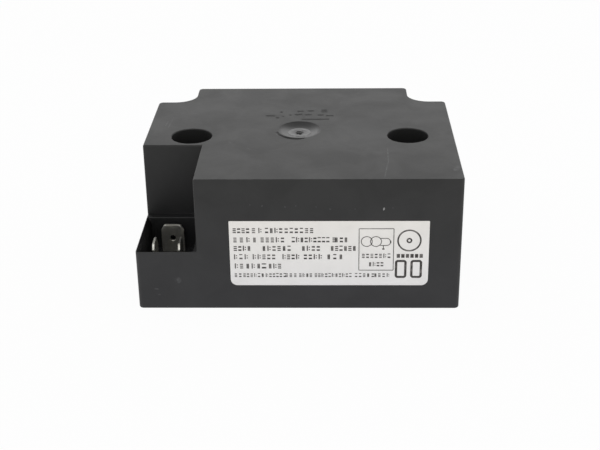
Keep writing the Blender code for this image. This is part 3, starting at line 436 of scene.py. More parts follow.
# %% Outer form of the case
EAR_DEPTH = 59.7 * MM
EAR_LENGTH = 10.85 * MM
EAR_FILLET = 6.2 * MM
CORNER_RADIUS = 1.25 * MM
EDGE_RADIUS = 0.4 * MM
BAY_RIM = 16.8 * MM
BAY_WIDTH = 16.2 * MM
BAY_DEPTH = 24.1 * MM
BAY_RIGHT = LEFT + BAY_WIDTH
BAY_BACK = FRONT + BAY_DEPTH
CLEAR = 1.0 * MM


def case_outline(inset, *corner, right=(), left=()):
    """The case seen from above, drawn in. More corners may follow on its right and its left side."""
    half, rear_half = RIGHT - inset, RIGHT - EAR_LENGTH - inset
    front, ear, rear = FRONT + inset, FRONT + EAR_DEPTH - inset, REAR - inset
    fillet = (EAR_FILLET + inset, 24)
    return rounded([
        (-half, front, *corner), (half, front, *corner), *right, (half, ear, *corner),
        (rear_half, ear, *fillet), (rear_half, rear, *corner), (-rear_half, rear, *corner),
        (-rear_half, ear, *fillet), (-half, ear, *corner), *left,
    ])


def block(low, high):
    """A box between two corners."""
    edge = rounded_box(low[:2], high[:2], 0, 0)
    return lofted("block", [at_height(edge, low[2]), at_height(edge, high[2])])


outline = case_outline(0, CORNER_RADIUS, 8)
case = lofted("case", [at_height(outline, 0.0), at_height(outline, TOP)])
notch = block((LEFT - CLEAR, FRONT - CLEAR, BAY_RIM), (BAY_RIGHT, BAY_BACK, TOP + CLEAR))
case = softened(cut(case, [notch]), EDGE_RADIUS, 4)
print("outer form", len(case.polygons), "faces")

# %% [markdown]
# ## Hollow, tubes and webs
# From below the case is a shell. The tubes of the two screw bores stand in it, each tied to the side
# wall by a web. The hollow is a second outline, drawn in by the wall, less those features. The bay's
# walls and the socket's boss stand in it too, under the resin.

# %% Hollow of the case
ROOF = 2.2 * MM
INNER_CORNER = 0.3 * MM
BAY_SHELL = 1.8 * MM
WEB = 2.0 * MM
BAY_FLOOR = 7.5 * MM
BAY_FLOOR_UNDERSIDE = 5.7 * MM
SOCKET_BORE = 7.6 * MM
SOCKET_DEPTH = 14.0 * MM
SOCKET_SHELL = 1.5 * MM
BORE_SIDES = 96
SOCKET_SIDES = 64


def tubes_and_webs(low, high):
    """The screw tubes and their webs between two heights."""
    features = []
    for centre in BORES:
        ring = circle(centre, BORE_OUTLINE, BORE_SIDES)
        features.append(lofted("tube", [at_height(ring, low), at_height(ring, high)]))
        edge = math.copysign(RIGHT + CLEAR, centre.x)
        features.append(block((min(centre.x, edge), centre.y - WEB / 2, low),
                              (max(centre.x, edge), centre.y + WEB / 2, high)))
    return features


def along_y(profile, centre, sides):
    """Loops of a body turned about Y through (radius, y) points."""
    return [[(x, y, z) for x, z in circle((centre.x, centre.z), radius, sides)] for radius, y in profile]


inner = case_outline(WALL, INNER_CORNER, 8)
hollow = lofted("hollow", [at_height(inner, -CLEAR), at_height(inner, TOP - ROOF)])
corner = (LEFT - CLEAR, FRONT - CLEAR)
bay_walls = [
    block((*corner, BAY_RIM - WALL), (BAY_RIGHT + BAY_SHELL, BAY_BACK + BAY_SHELL, TOP)),
    block((*corner, BAY_FLOOR_UNDERSIDE), (BAY_RIGHT + BAY_SHELL, BAY_BACK, BAY_RIM)),
]
shell_radius = SOCKET_BORE / 2 + SOCKET_SHELL
shell_end = REAR - SOCKET_DEPTH - SOCKET_SHELL
shell = along_y([(shell_radius, REAR + CLEAR), (shell_radius, shell_end)], SOCKET, SOCKET_SIDES)
boss = lofted("boss", shell)
hollow = cut(hollow, tubes_and_webs(-2 * CLEAR, TOP) + bay_walls + [boss])
case = cut(case, [hollow])
print("shell", len(case.polygons), "faces")

# %% [markdown]
# ## Screw bores
# A screw passes down each ear: a wide bore for its head and the driver, a flat seat, and a hole for its
# shank. The mould pin leaves a small radius at the rim, which is what catches the light in the
# photograph, so the cutter flares out at the top in a quarter round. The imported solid's plain edge
# stands halfway in that radius.

# %% Cut the screw bores
HEAD_BORE = 11.3 * MM
SCREW_HOLE = 6.0 * MM
SEAT_HEIGHT = 5.0 * MM
RIM_RADIUS = 0.3 * MM
RIM_STEPS = 5


def flared(radius, rim, edge, away):
    """(radius, height) steps of a hole that opens in a quarter round at an edge, towards away."""
    sense = math.copysign(1.0, away - edge)
    steps = []
    for step in range(RIM_STEPS + 1):
        turn = math.pi / 2 * step / RIM_STEPS
        steps.append((radius + rim * (1 - math.cos(turn)), edge - sense * rim * (1 - math.sin(turn))))
    return steps + [(radius + rim, away)]


bores = []
for centre in BORES:
    profile = [(SCREW_HOLE / 2, -CLEAR), (SCREW_HOLE / 2, SEAT_HEIGHT), (HEAD_BORE / 2, SEAT_HEIGHT)]
    profile += flared(HEAD_BORE / 2, RIM_RADIUS, TOP, TOP + CLEAR)
    bores.append(lofted("bore", [at_height(circle(centre, radius, BORE_SIDES), height)
                                 for radius, height in profile]))
case = cut(case, bores)
print("bores cut", len(case.polygons), "faces")

# %% [markdown]
# ## Terminal bay
# The bay is a deep well with thin walls and a shelf at the back. Its pocket has rounded inner corners.
# The left and front walls slope away inside, to a thin rim that guides the plug, so hardly any of their
# top shows. The shelf has only a soft edge, and the fourth side runs up into the wall of the block. A
# short rib thickens that wall at the front.

# %% Cut the terminal bay
BAY_WALL = 1.2 * MM
BAY_SHELF = 2.3 * MM
BAY_CORNER = 0.6 * MM
SHELF_RADIUS = 0.25 * MM
LEAD_SLOPE_WIDTH = 0.98 * MM
LEAD_SLOPE_HEIGHT = 1.6 * MM
RIB_WIDTH = 0.9 * MM
RIB_LENGTH = 9.0 * MM
RIB_CORNER = 0.4 * MM
OVERCUT = 0.02 * MM
SLOT_MARGIN = 0.3 * MM


def bay_outline(grow, grow_back):
    """The pocket's outline, grown at its two thin walls and at the shelf."""
    left, front = LEFT + BAY_WALL - grow, FRONT + BAY_WALL - grow
    back = BAY_BACK - BAY_SHELF + grow_back
    corner = (BAY_CORNER, 6)
    rib_end = FRONT + BAY_WALL + RIB_LENGTH
    return rounded([
        (left, front, *corner), (BAY_RIGHT - RIB_WIDTH, front, *corner),
        (BAY_RIGHT - RIB_WIDTH, rib_end, RIB_CORNER, 3), (BAY_RIGHT, rib_end + RIB_WIDTH, RIB_CORNER, 3),
        (BAY_RIGHT, back, *corner), (left, back, *corner),
    ])


straight = bay_outline(0, 0)
pocket = [at_height(straight, BAY_FLOOR), at_height(straight, BAY_RIM - LEAD_SLOPE_HEIGHT)]
for grow_back, height in flared(0.0, SHELF_RADIUS, BAY_RIM, BAY_RIM + OVERCUT):
    share = min(1.0, 1 - (BAY_RIM - height) / LEAD_SLOPE_HEIGHT)
    pocket.append(at_height(bay_outline(LEAD_SLOPE_WIDTH * share, grow_back), height))
cutters = [lofted("pocket", pocket)]
for name in ("line_blade", "neutral_blade", "earth_blade"):
    low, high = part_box(name)
    cutters.append(block((low.x - SLOT_MARGIN, low.y - SLOT_MARGIN, BAY_FLOOR_UNDERSIDE - CLEAR),
                         (high.x + SLOT_MARGIN, high.y + SLOT_MARGIN, BAY_FLOOR + CLEAR)))
case = cut(case, cutters)
print("bay cut", len(case.polygons), "faces")

# %% [markdown]
# ## High-voltage socket
# The spark lead's boot goes into a round socket in the rear block, over a pin. Its mouth has a lead-in
# cone so that the boot finds its way, and its floor has the hole that holds the pin.

# %% Cut the socket
LEAD_IN = 0.7 * MM
PIN_RADIUS = (pin_high.x - pin_low.x) / 2
PIN_MARGIN = 0.3 * MM
PIN_CENTRE = (pin_low + pin_high) / 2
PIN_HOLE_LENGTH = 2.5 * MM

hole, wide, floor_depth = PIN_RADIUS + PIN_MARGIN, SOCKET_BORE / 2, REAR - SOCKET_DEPTH
mouth = [(hole, floor_depth - PIN_HOLE_LENGTH), (hole, floor_depth), (wide, floor_depth),
         (wide, REAR - LEAD_IN), (wide + LEAD_IN, REAR), (wide + LEAD_IN, REAR + CLEAR)]
case = cut(case, [lofted("mouth", along_y(mouth, PIN_CENTRE, SOCKET_SIDES))])
print("socket cut", len(case.polygons), "faces")

# %% [markdown]
# ## Gate dish
# The melt enters the mould in the middle of the roof. The gate is broken off below the surface, in a
# shallow dish, and leaves a torn stub with a shrink pit. A turned profile would be too clean for torn
# plastic, so the dish is one height field in polar steps. From the middle outwards come the stub and a
# bowl that steepens to its rim. Towards the back the bowl is deeper and reaches further out. On the
# near left the insert sat proud of the mould and left a low step, whose wall is the dark crescent there.

# %% Cut the gate dish
DISH_CENTRE = Vector((-0.15 * MM, FRONT + 35.7 * MM))
STUB_RADIUS = 3.3 * MM
STUB_DROP = 0.68 * MM
BOWL_RADIUS = 6.1 * MM
BOWL_DEPTH = 0.7 * MM
BOWL_EVEN_SHARE = 0.4
BOWL_CURVE = 2.2
BACK_SINK = 0.14
BACK_DEEPER = 0.4
BACK_TURN = math.radians(12)
DISH_NARROWED = 0.975
RIM_DROP = 0.03 * MM
STEP_DROP = 0.46 * MM
STEP_SLOPE = 0.2
STEP_RUN = 1.55 * MM
STEP_DIRECTION = math.radians(-120)
STEP_SPREAD = math.radians(46)
PIT_CENTRE = Vector((-0.05 * MM, -0.35 * MM))
PIT_REACH = Vector((1.3 * MM, 2.0 * MM))
PIT_DEPTH = 0.95 * MM
TEAR_GRAIN = 0.8 * MM
TEAR_HEIGHT = 0.06 * MM
STUB_HOLLOW = 0.1 * MM
DISH_SECTORS = 120


def smooth(share):
    """0 to 1 with level ends."""
    share = min(1.0, max(0.0, share))
    return share * share * (3 - 2 * share)


def stub_height(place):
    """The torn face: rough, a little hollow, with a ragged pit."""
    tear = noise.fractal(Vector((*place, 0)) / TEAR_GRAIN, 0.8, 2.0, 4)
    off_centre = place - PIT_CENTRE
    reach = math.hypot(off_centre.x / PIT_REACH.x, off_centre.y / PIT_REACH.y) + 0.25 * tear
    hollow = STUB_HOLLOW * (1 - smooth(place.length / (0.9 * STUB_RADIUS)))
    pit = PIT_DEPTH * (1 - smooth((reach - 0.3) / 0.55))
    return TOP - STUB_DROP - hollow + TEAR_HEIGHT * tear - pit


def dish_point(ring, turn):
    """A point of the dish. Ring runs from 0 to 1 over the stub, to 2 over the bowl, to 3 outside it."""
    backward = smooth((math.sin(turn + BACK_TURN) + 0.35) / 1.35)
    rim = BOWL_RADIUS * (1 + BACK_SINK * max(0.0, math.sin(turn)) ** 2)
    arm = Vector((DISH_NARROWED * math.cos(turn), math.sin(turn)))
    if ring < 1:
        place = arm * STUB_RADIUS * ring
        return *(DISH_CENTRE + place), stub_height(place)
    if ring < 2:
        run = ring - 1
        floor_drop = BOWL_DEPTH * (1 + BACK_DEEPER * backward) - RIM_DROP
        climbed = BOWL_EVEN_SHARE * run + (1 - BOWL_EVEN_SHARE) * run ** BOWL_CURVE
        place = arm * (STUB_RADIUS + (rim - STUB_RADIUS) * run)
        return *(DISH_CENTRE + place), TOP - RIM_DROP - floor_drop * (1 - climbed)
    off_direction = abs((turn - STEP_DIRECTION + math.pi) % math.tau - math.pi)
    facing = math.sqrt(max(0.0, 1 - (off_direction / STEP_SPREAD) ** 3))
    run = ring - 2
    step_shape = min(run / STEP_SLOPE, (1 - run) / (1 - STEP_SLOPE))
    fallen = RIM_DROP * (1 - 3 * run) + STEP_DROP * facing * step_shape
    return *(DISH_CENTRE + arm * (rim + STEP_RUN * run)), TOP - fallen


def spaced(start, end, steps):
    """Numbers from a start to an end, both included."""
    return [start + (end - start) * step / steps for step in range(steps + 1)]


rings = spaced(0.03, 0.99, 18) + spaced(1.0, 1.99, 24) + spaced(2.0, 3.0, 10)
bearings = [math.tau * step / DISH_SECTORS for step in range(DISH_SECTORS)]
field = [[dish_point(ring, bearing) for bearing in bearings] for ring in rings]
field.append([(x, y, TOP + CLEAR) for x, y, height in field[-1]])
case = cut(case, [lofted("dish", field)])
print("dish cut", len(case.polygons), "faces")

# %% [markdown]
# ## Moulded marks
# Behind the dish the mould has a shallow engraving: rows of plain dashes, with a long one nearest the
# dish. Their sides slope, so each shows as a soft dark line where it faces the viewer. A cutter that is
# wider at its top gives such sides in one cut.

# %% Cut the moulded marks
MARK_DEPTH = 0.17 * MM
MARK_SLOPE = 0.45
DASHES = [(-10.0, 11.2, 2.4), (-6.9, 9.5, 0.5), (-5.9, 14.2, 0.4), (-5.3, 10.8, 0.3), (-0.9, 15.0, 1.5),
          (2.2, 15.3, 1.4), (6.1, 14.4, 1.4), (6.1, 15.9, 1.4), (-3.3, 11.8, 0.4), (-1.7, 12.1, 2.0),
          (1.3, 12.0, 1.6), (5.0, 11.7, 1.5), (7.5, 11.1, 1.8), (0.3, 8.1, 7.9)]
DASH_WIDTH = 0.45


def sunk(left, front, length):
    """A sunk dash with sloping sides, from its lower left corner. Measures are in millimetres."""
    loops = []
    for grow, height in ((0.0, TOP - MARK_DEPTH), (MARK_SLOPE, TOP), (MARK_SLOPE, TOP + CLEAR)):
        high = (left + length + grow, front + DASH_WIDTH + grow)
        edge = rounded_box((left - grow, front - grow), high, 0.15 + grow, 4)
        loops.append(at_height([point * MM for point in edge], height))
    return lofted("sunk", loops)


case = cut(case, [sunk(*dash) for dash in DASHES])
print("marks cut", len(case.polygons), "faces")

# %% [markdown]
# ## Places on a surface
# Wear sits in certain places. Two masks find them from the object's coordinates alone: a soft spot
# round a centre, and a soft stroke between two points. Each is 1 in its middle and fades to 0 at its
# reach. A painted picture could do the same, but it would need an unwrapped surface and a file.

# %% Masks for places
def place_mask(tree, point, centre, reach):
    """1 at a centre, fading to 0 at a reach that may differ along each axis."""
    offset = put(tree, "VectorMath", {0: point, 1: tuple(centre)}, operation="SUBTRACT")
    squeeze = tuple(1.0 / value for value in reach)
    scaled = put(tree, "VectorMath", {0: offset, 1: squeeze}, operation="MULTIPLY")
    distance = put(tree, "VectorMath", {0: scaled}, operation="LENGTH")
    return put(tree, "MapRange", {"Value": distance, "To Min": 1.0, "To Max": 0.0},
               interpolation_type="SMOOTHSTEP")


def stroke_mask(tree, point, start, end, width):
    """1 along a line between two points, fading to 0 at half a width beside it and at its ends."""
    start, end = Vector(start) * MM, Vector(end) * MM
    along = (end - start).normalized()
    offset = put(tree, "VectorMath", {0: point, 1: tuple((start + end) / 2)}, operation="SUBTRACT")
    run = put(tree, "VectorMath", {0: offset, 1: tuple(along)}, operation="DOT_PRODUCT")
    shift = put(tree, "VectorMath", {0: tuple(along), "Scale": run}, operation="SCALE")
    side = put(tree, "VectorMath", {0: offset, 1: shift}, operation="SUBTRACT")
    beside = put(tree, "VectorMath", {0: side}, operation="LENGTH")
    far = put(tree, "Math", {0: beside, 1: width * MM / 2}, operation="DIVIDE")
    gone = put(tree, "Math", {0: run, 1: (end - start).length / 2}, operation="DIVIDE")
    softly = put(tree, "Math", {0: far, 1: 2.0}, operation="POWER")
    abruptly = put(tree, "Math", {0: gone, 1: 4.0}, operation="POWER")
    reach = put(tree, "Math", {0: softly, 1: abruptly}, operation="ADD")
    return put(tree, "MapRange", {"Value": reach, "To Min": 1.0, "To Max": 0.0})


print("masks for spots and strokes are ready")

# %% [markdown]
# ## Spark-eroded nylon
# Glass-filled nylon is a warm black with a dull, slightly waxy sheen. The mould was spark eroded, which
# leaves a fine even grain. The sheen does most of the work: the roof mirrors the tent at a shallow angle
# and looks grey, while the front stays dark. The grain is about 0.15 mm on the real part and is drawn at
# 0.3 mm so that it shows. Handling has polished some patches and greyed others. Scratches and scuffs
# are short strokes in the same material, each placed by its two ends. The dish is smoother than the
# rest, and its torn stub is paler, because fresh torn nylon scatters the light. On the stub a painted
# highlight lightens its edge and painted shade darkens its middle.

# %% Finish of the case
SCRATCHES = [((-37.4, 1.4, 37.4), (-36.9, 10.9, 37.4), 0.5), ((-38.4, 3.0, 37.4), (-38.0, 7.5, 37.4), 0.4),
             ((24.0, -13.5, 37.4), (23.8, -25.5, 37.4), 0.45),
             ((23.8, -23.5, 37.4), (22.3, -35.2, 37.4), 0.45),
             ((-32.4, -35.85, 9.2), (-31.2, -35.85, 7.8), 1.9),
             ((-38.4, -35.85, 6.0), (-37.0, -35.85, 5.8), 0.6),
             ((41.9, -26.2, 37.4), (40.7, -30.6, 37.4), 1.8),
             ((-37.4, -35.85, 4.3), (-36.6, -35.85, 4.2), 0.45),
             ((-14.3, -14.0, 37.4), (-11.2, -15.7, 37.4), 0.3),
             ((-19.5, -9.0, 37.4), (-18.4, -10.2, 37.4), 0.35)]
GREYED = [((17.5, -4.0), (13.0, 20.0), 0.14), ((-17.0, 25.0), (14.0, 15.0), 0.06)]


def case_finish():
    """Black glass-filled nylon from a spark-eroded mould."""
    finish, tree, point = new_finish("spark_eroded_nylon")
    height = put(tree, "SeparateXYZ", {0: point}).outputs["Z"]
    grain = put(tree, "TexNoise", {"Vector": point, "Scale": scale_for(0.3 * MM), "Detail": 2.0})
    speckle = put(tree, "TexNoise", {"Vector": point, "Scale": scale_for(1.3 * MM), "Detail": 3.0,
                                     "Roughness": 0.7})
    handling = put(tree, "TexNoise", {"Vector": point, "Scale": scale_for(11 * MM), "Detail": 4.0,
                                      "Roughness": 0.55, "Distortion": 0.6})
    patch = put(tree, "MapRange", {"Value": handling, "From Min": 0.36, "From Max": 0.66})
    # Painted light and shade: the base colour is lighter low down and darker towards the roof, to even out
    # how the light falls on the front.
    rise = put(tree, "MapRange", {"Value": height, "From Max": TOP})
    clean = put(tree, "Mix", {0: rise, 6: "#1d1d20", 7: "#111110"}, data_type="RGBA")
    handled = put(tree, "Mix", {0: rise, 6: "#222225", 7: "#191918"}, data_type="RGBA")
    colour = put(tree, "Mix", {0: patch, 6: clean, 7: handled}, data_type="RGBA")
    for (x, y), (reach_x, reach_y), strength in GREYED:
        grey = place_mask(tree, point, (x * MM, y * MM, TOP), (reach_x * MM, reach_y * MM, 4 * MM))
        faint = put(tree, "Math", {0: grey, 1: strength}, operation="MULTIPLY")
        colour = put(tree, "Mix", {0: faint, 6: colour, 7: "#707072"}, data_type="RGBA")
    # Painted shade: the base colour darkens almost to black towards the inner corner of the terminal bay's
    # notch.
    shade_reach = (1.2 * BAY_WIDTH, 0.6 * BAY_DEPTH, 1.25 * (TOP - BAY_RIM))
    painted_notch_shade = place_mask(tree, point, (LEFT, BAY_BACK, BAY_RIM), shade_reach)
    colour = put(tree, "Mix", {0: painted_notch_shade, 6: colour, 7: "#050505"}, data_type="RGBA")
    worn = put(tree, "MapRange", {"Value": speckle, "From Min": 0.35, "From Max": 0.75, "To Max": 0.45})
    marks = 0.0
    for start, end, width in SCRATCHES:
        marks = put(tree, "Math", {0: marks, 1: stroke_mask(tree, point, start, end, width)},
                    operation="MAXIMUM")
    broken = put(tree, "Math", {0: marks, 1: worn}, operation="MULTIPLY")
    colour = put(tree, "Mix", {0: broken, 6: colour, 7: "#707072"}, data_type="RGBA")
    stub = place_mask(tree, point, (DISH_CENTRE.x, DISH_CENTRE.y, TOP - STUB_DROP),
                      (1.1 * STUB_RADIUS, 1.1 * STUB_RADIUS, 0.55 * MM))
    torn = put(tree, "MapRange", {"Value": stub, "From Min": 0.02, "From Max": 0.06})
    # Painted highlight and shade on the torn stub: lighter towards its edge, darker towards the pit in its
    # middle, over the paler tone of torn nylon.
    inward = put(tree, "MapRange", {"Value": stub, "From Min": 0.1, "From Max": 0.6})
    tear_tone_and_painted_rim_light = put(tree, "Mix", {0: inward, 6: "#747474", 7: "#464646"}, data_type="RGBA")
    fresh = put(tree, "Mix", {0: speckle, 6: "#242424", 7: tear_tone_and_painted_rim_light}, data_type="RGBA")
    colour = put(tree, "Mix", {0: torn, 6: colour, 7: fresh}, data_type="RGBA")
    rough = put(tree, "MapRange", {"Value": patch, "To Min": 0.545, "To Max": 0.495})
    uneven = put(tree, "Math", {0: speckle, 1: 0.05}, operation="MULTIPLY")
    rough = put(tree, "Math", {0: rough, 1: uneven}, operation="ADD")
    dish = place_mask(tree, point, (DISH_CENTRE.x, DISH_CENTRE.y + 0.4 * MM, TOP),
                      (1.03 * BOWL_RADIUS, 1.08 * BOWL_RADIUS, 3 * MM))
    smoothed_and_shaded_dish = put(tree, "MapRange", {"Value": dish, "From Max": 0.1})
    # Painted shade: the dish's base colour is darkened almost to black, apart from the stub. The same mask
    # also makes the dish smoother.
    bowl = put(tree, "Math", {0: smoothed_and_shaded_dish, 1: torn}, operation="SUBTRACT")
    colour = put(tree, "Mix", {0: bowl, 6: colour, 7: "#0b0b0b"}, data_type="RGBA")
    smoother = put(tree, "Math", {0: smoothed_and_shaded_dish, 1: 0.16}, operation="MULTIPLY")
    rough = put(tree, "Math", {0: rough, 1: smoother}, operation="SUBTRACT")
    relief = put(tree, "Bump", {"Strength": 0.3, "Distance": 0.03 * MM, "Height": grain})
    shader = put(tree, "BsdfPrincipled", {"Base Color": colour, "Roughness": rough, "IOR": 1.53,
                                          "Normal": relief})
    put(tree, "OutputMaterial", {"Surface": shader})
    return finish


nylon = case_finish()
add_piece("moulded_case", shaded(case), nylon, "case_plastic", "case")

# %% [markdown]
# ## Label film
# The rating label is a thin satin polyester film, stuck low on the front, with its two lower corners
# rounded. It lies flat on the case, so it starts at the case's face. Its edge is drawn in a little
# towards the front, as a cut film has it, and that thin step is what separates it from the case.

# %% Make the label film
LABEL_CORNER = 1.8 * MM
LABEL_TOP_CORNER = 0.25 * MM
FILM_THICKNESS = 0.12 * MM
FILM_STEP = 0.08 * MM
FILM_DRAWN_IN = 0.05 * MM
FILM_FACE = FRONT - FILM_THICKNESS
INK_FACE = FILM_FACE - 0.02 * MM


def film_loop(inset, y):
    """The film's outline at a depth."""
    left, right = label_low.x + inset, label_high.x - inset
    base, top = label_low.z + inset, label_high.z - inset
    lower, upper = (LABEL_CORNER - inset, 16), (LABEL_TOP_CORNER - inset, 6)
    edge = rounded([(left, base, *lower), (right, base, *lower), (right, top, *upper), (left, top, *upper)])
    return [(x, y, z) for x, z in edge]


def film_finish():
    """Satin white polyester film, a little warmer at its top, and cooler and paler below as painted light for
    the dimmer lower part.
    """
    finish, tree, point = new_finish("satin_label_film")
    height = put(tree, "SeparateXYZ", {0: point}).outputs["Z"]
    # Painted light: the film's tone is paler and cooler towards its bottom edge, where less light reaches.
    rise = put(tree, "MapRange", {"Value": height, "From Min": label_low.z, "From Max": label_high.z})
    tone = put(tree, "Mix", {0: rise, 6: "#faf9f9", 7: "#faf7f2"}, data_type="RGBA")
    cloud = put(tree, "TexNoise", {"Vector": point, "Scale": scale_for(5 * MM), "Detail": 4.0})
    soil = put(tree, "MapRange", {"Value": cloud, "From Min": 0.5, "From Max": 0.8})
    faint = put(tree, "Math", {0: soil, 1: 0.2}, operation="MULTIPLY")
    tone = put(tree, "Mix", {0: faint, 6: tone, 7: "#d8d5cf"}, data_type="RGBA")
    tooth = put(tree, "TexNoise", {"Vector": point, "Scale": scale_for(0.25 * MM), "Detail": 2.0})
    relief = put(tree, "Bump", {"Strength": 0.15, "Distance": 0.01 * MM, "Height": tooth})
    shader = put(tree, "BsdfPrincipled", {"Base Color": tone, "Roughness": 0.42, "IOR": 1.5,
                                          "Normal": relief})
    put(tree, "OutputMaterial", {"Surface": shader})
    return finish


film = lofted("film", [film_loop(0.0, FRONT), film_loop(0.0, FRONT - FILM_STEP),
                       film_loop(FILM_DRAWN_IN, FILM_FACE)])
add_piece("label_film", shaded(film), film_finish(), "label_film", "rating_label")

# %% [markdown]
# ## Printed rows
# A thermal printer puts several rows of small print on the film. Each word here is a run of marks from
# a small set that is made of bars and dots. Hundreds of marks are work for Geometry Nodes. Each word is
# one edge. The tree sets points along it at the pitch of the print, and stands one mark of the set on
# each point, picked at random with a fixed seed.

# %% Node group for the rows
WORDS = {
    "rows": (1.5, [
        (22.43, [(-16.8, -12.5), (-11.8, -9.3), (-8.4, -3.9), (-3.3, 4.1)]),
        (19.76, [(-16.7, -14.2), (-13.3, -10.8), (-9.6, -3.5), (-1.5, 8.3), (9.1, 10.5), (11.0, 13.0)]),
        (17.28, [(-16.7, -12.3), (-9.2, -1.8), (1.1, 5.8), (8.6, 15.2)]),
        (14.83, [(-16.7, -13.1), (-11.8, -5.9), (-4.0, 0.4), (1.6, 6.3), (7.7, 11.7)]),
        (12.1, [(-16.6, -14.4), (-13.6, -9.9), (-9.5, -8.3), (-7.7, -4.4)]),
    ]),
    "box words": (1.3, [(15.2, [(16.8, 24.2)]), (12.75, [(18.6, 22.4)])]),
    "small row": (1.15, [(9.57, [(-16.7, -13.8), (-13.5, -9.0), (-8.5, -4.2), (-3.8, -2.7), (-2.2, -0.4),
                                (0.3, 3.7), (4.4, 14.1), (15.0, 18.8), (19.4, 20.7), (21.1, 24.0)])]),
}
MARK_PITCH = 0.74
MARK_WIDTH = 0.55
MARK_STROKE_WIDTH = 0.2
HEAVY_STROKE_WIDTH = 0.3
PRINT_SEED = 7


def new_group(name, takes, gives):
    """An empty node group with named inputs of some kinds and one shape as its output."""
    tree = bpy.data.node_groups.new(name, "GeometryNodeTree")
    for label, kind in takes.items():
        tree.interface.new_socket(label, in_out="INPUT", socket_type=f"NodeSocket{kind}")
    tree.interface.new_socket(gives, in_out="OUTPUT", socket_type="NodeSocketGeometry")
    return tree, put(tree, "NodeGroupInput").outputs


def end_group(tree, placed, paint):
    """End a node group: its instances become one plain shape with a material."""
    solid = put(tree, "GeometryNodeRealizeInstances", {0: placed})
    painted = put(tree, "GeometryNodeSetMaterial", {"Geometry": solid, "Material": paint})
    put(tree, "NodeGroupOutput", {0: painted})


def stroke(tree, x, y, width, height):
    """A flat bar of a printed mark, from its lower left corner."""
    shape = put(tree, "GeometryNodeMeshGrid", {"Size X": width, "Size Y": height, "Vertices X": 2,
                                               "Vertices Y": 2})
    return put(tree, "GeometryNodeTransform", {"Geometry": shape,
                                               "Translation": (x + width / 2, y + height / 2, 0)})


def print_tree(ink):
    """Node group that turns words, each an edge, into rows of printed marks."""
    takes = {"Words": "Geometry", "Print Height": "Float", "Seed": "Int"}
    tree, given = new_group("print_rows", takes, "Print")
    wide, line, heavy = MARK_WIDTH, MARK_STROKE_WIDTH, HEAVY_STROKE_WIDTH
    low, full, dot, inset = 0.92, 1.0, 0.2, 0.06
    dots = [stroke(tree, wide - dot, level, dot, dot) for level in (0.15, 0.6)]
    designs = [
        [stroke(tree, 0, 0, wide, heavy), stroke(tree, 0, low - heavy, wide, heavy)],
        [stroke(tree, inset, 0, line, low), stroke(tree, wide - inset - line, 0, line, low)],
        [stroke(tree, 0, level, wide, line) for level in (0, (low - line) / 2, low - line)],
        [stroke(tree, 0, 0, line, full), *dots],
        [stroke(tree, 0, 0, wide, heavy), stroke(tree, 0, full - line, wide, line)],
    ]
    marks = [put(tree, "GeometryNodeJoinGeometry", {0: design}) for design in designs]
    stock = put(tree, "GeometryNodeGeometryToInstance", {0: marks})
    lines = put(tree, "GeometryNodeMeshToCurve", {"Mesh": given["Words"]})
    pitch = put(tree, "Math", {0: given["Print Height"], 1: MARK_PITCH}, operation="MULTIPLY")
    stops = put(tree, "GeometryNodeResampleCurve", {"Curve": lines, "Length": pitch}, mode="LENGTH")
    pick = put(tree, "FunctionNodeRandomValue", {4: 0, 5: len(designs) - 1, 8: given["Seed"]},
               data_type="INT")
    size = put(tree, "CombineXYZ", {axis: given["Print Height"] for axis in "XYZ"})
    printed = put(tree, "GeometryNodeInstanceOnPoints", {"Points": stops, "Instance": stock,
                                                         "Pick Instance": True, "Instance Index": pick,
                                                         "Scale": size})
    end_group(tree, printed, ink)
    return tree


print("rows to print", sum(len(rows) for height, rows in WORDS.values()))

# %% [markdown]
# ## Running a node group
# A node group becomes a plain mesh in three steps: a modifier holds it, the modifier's inputs are set
# by their identifiers before anything is evaluated, and the evaluated object is copied to a new mesh.
# The film's ink is dark and matt, and thin in places where the film shows through.

# %% Print the rows
def grown_by(tree, mesh, inputs):
    """A mesh run through a node group, its named inputs set before it is first evaluated."""
    target = helper_object(mesh, "target")
    step = target.modifiers.new("nodes", "NODES")
    step.node_group = tree
    for item in tree.interface.items_tree:
        if item.in_out == "INPUT" and item.name in inputs:
            step[item.identifier] = inputs[item.name]
    return evaluated(target)


def upright(mesh, y):
    """Stand a mesh that was drawn flat up before the front, at a depth."""
    mesh.transform(Matrix(((1, 0, 0, 0), (0, 0, -1, y), (0, 1, 0, 0), (0, 0, 0, 1))))


def ink_finish():
    """Thermal-transfer ink, thin in places where the film shows through."""
    finish, tree, point = new_finish("thermal_transfer_ink")
    patch = put(tree, "TexNoise", {"Vector": point, "Scale": scale_for(1.6 * MM), "Detail": 3.0})
    thin = put(tree, "MapRange", {"Value": patch, "From Min": 0.48, "From Max": 0.72, "To Max": 0.8})
    tone = put(tree, "Mix", {0: thin, 6: "#35312f", 7: "#8f8b88"}, data_type="RGBA")
    shader = put(tree, "BsdfPrincipled", {"Base Color": tone, "Roughness": 0.5, "IOR": 1.5})
    put(tree, "OutputMaterial", {"Surface": shader})
    return finish


def joined(meshes):
    """Several meshes as one."""
    whole = bmesh.new()
    for mesh in meshes:
        whole.from_mesh(mesh)
    return as_mesh(whole, "joined")


ink = ink_finish()
print_rows = print_tree(ink)
runs = []
for height, rows in WORDS.values():
    edges = bmesh.new()
    for base, spans in rows:
        for start, end in spans:
            last = end - MARK_WIDTH * height
            edges.edges.new([edges.verts.new((x * MM, base * MM, 0)) for x in (start, last)])
    words = as_mesh(edges, "words")
    runs.append(grown_by(print_rows, words, {"Print Height": height * MM, "Seed": PRINT_SEED}))
printing = joined(runs)
upright(printing, INK_FACE)
add_piece("label_print", printing, ink, "label_film")

# %% [markdown]
# ## Printed symbols
# Beside the rows stands a box with the sign of a transformer whose one output is earthed: two linked
# rings, a loop and a stem. To its right stand a plain ring, a row of blocks and two frames. Each symbol
# is a path with a stroke laid along it, mitred at its corners like a plotted line.

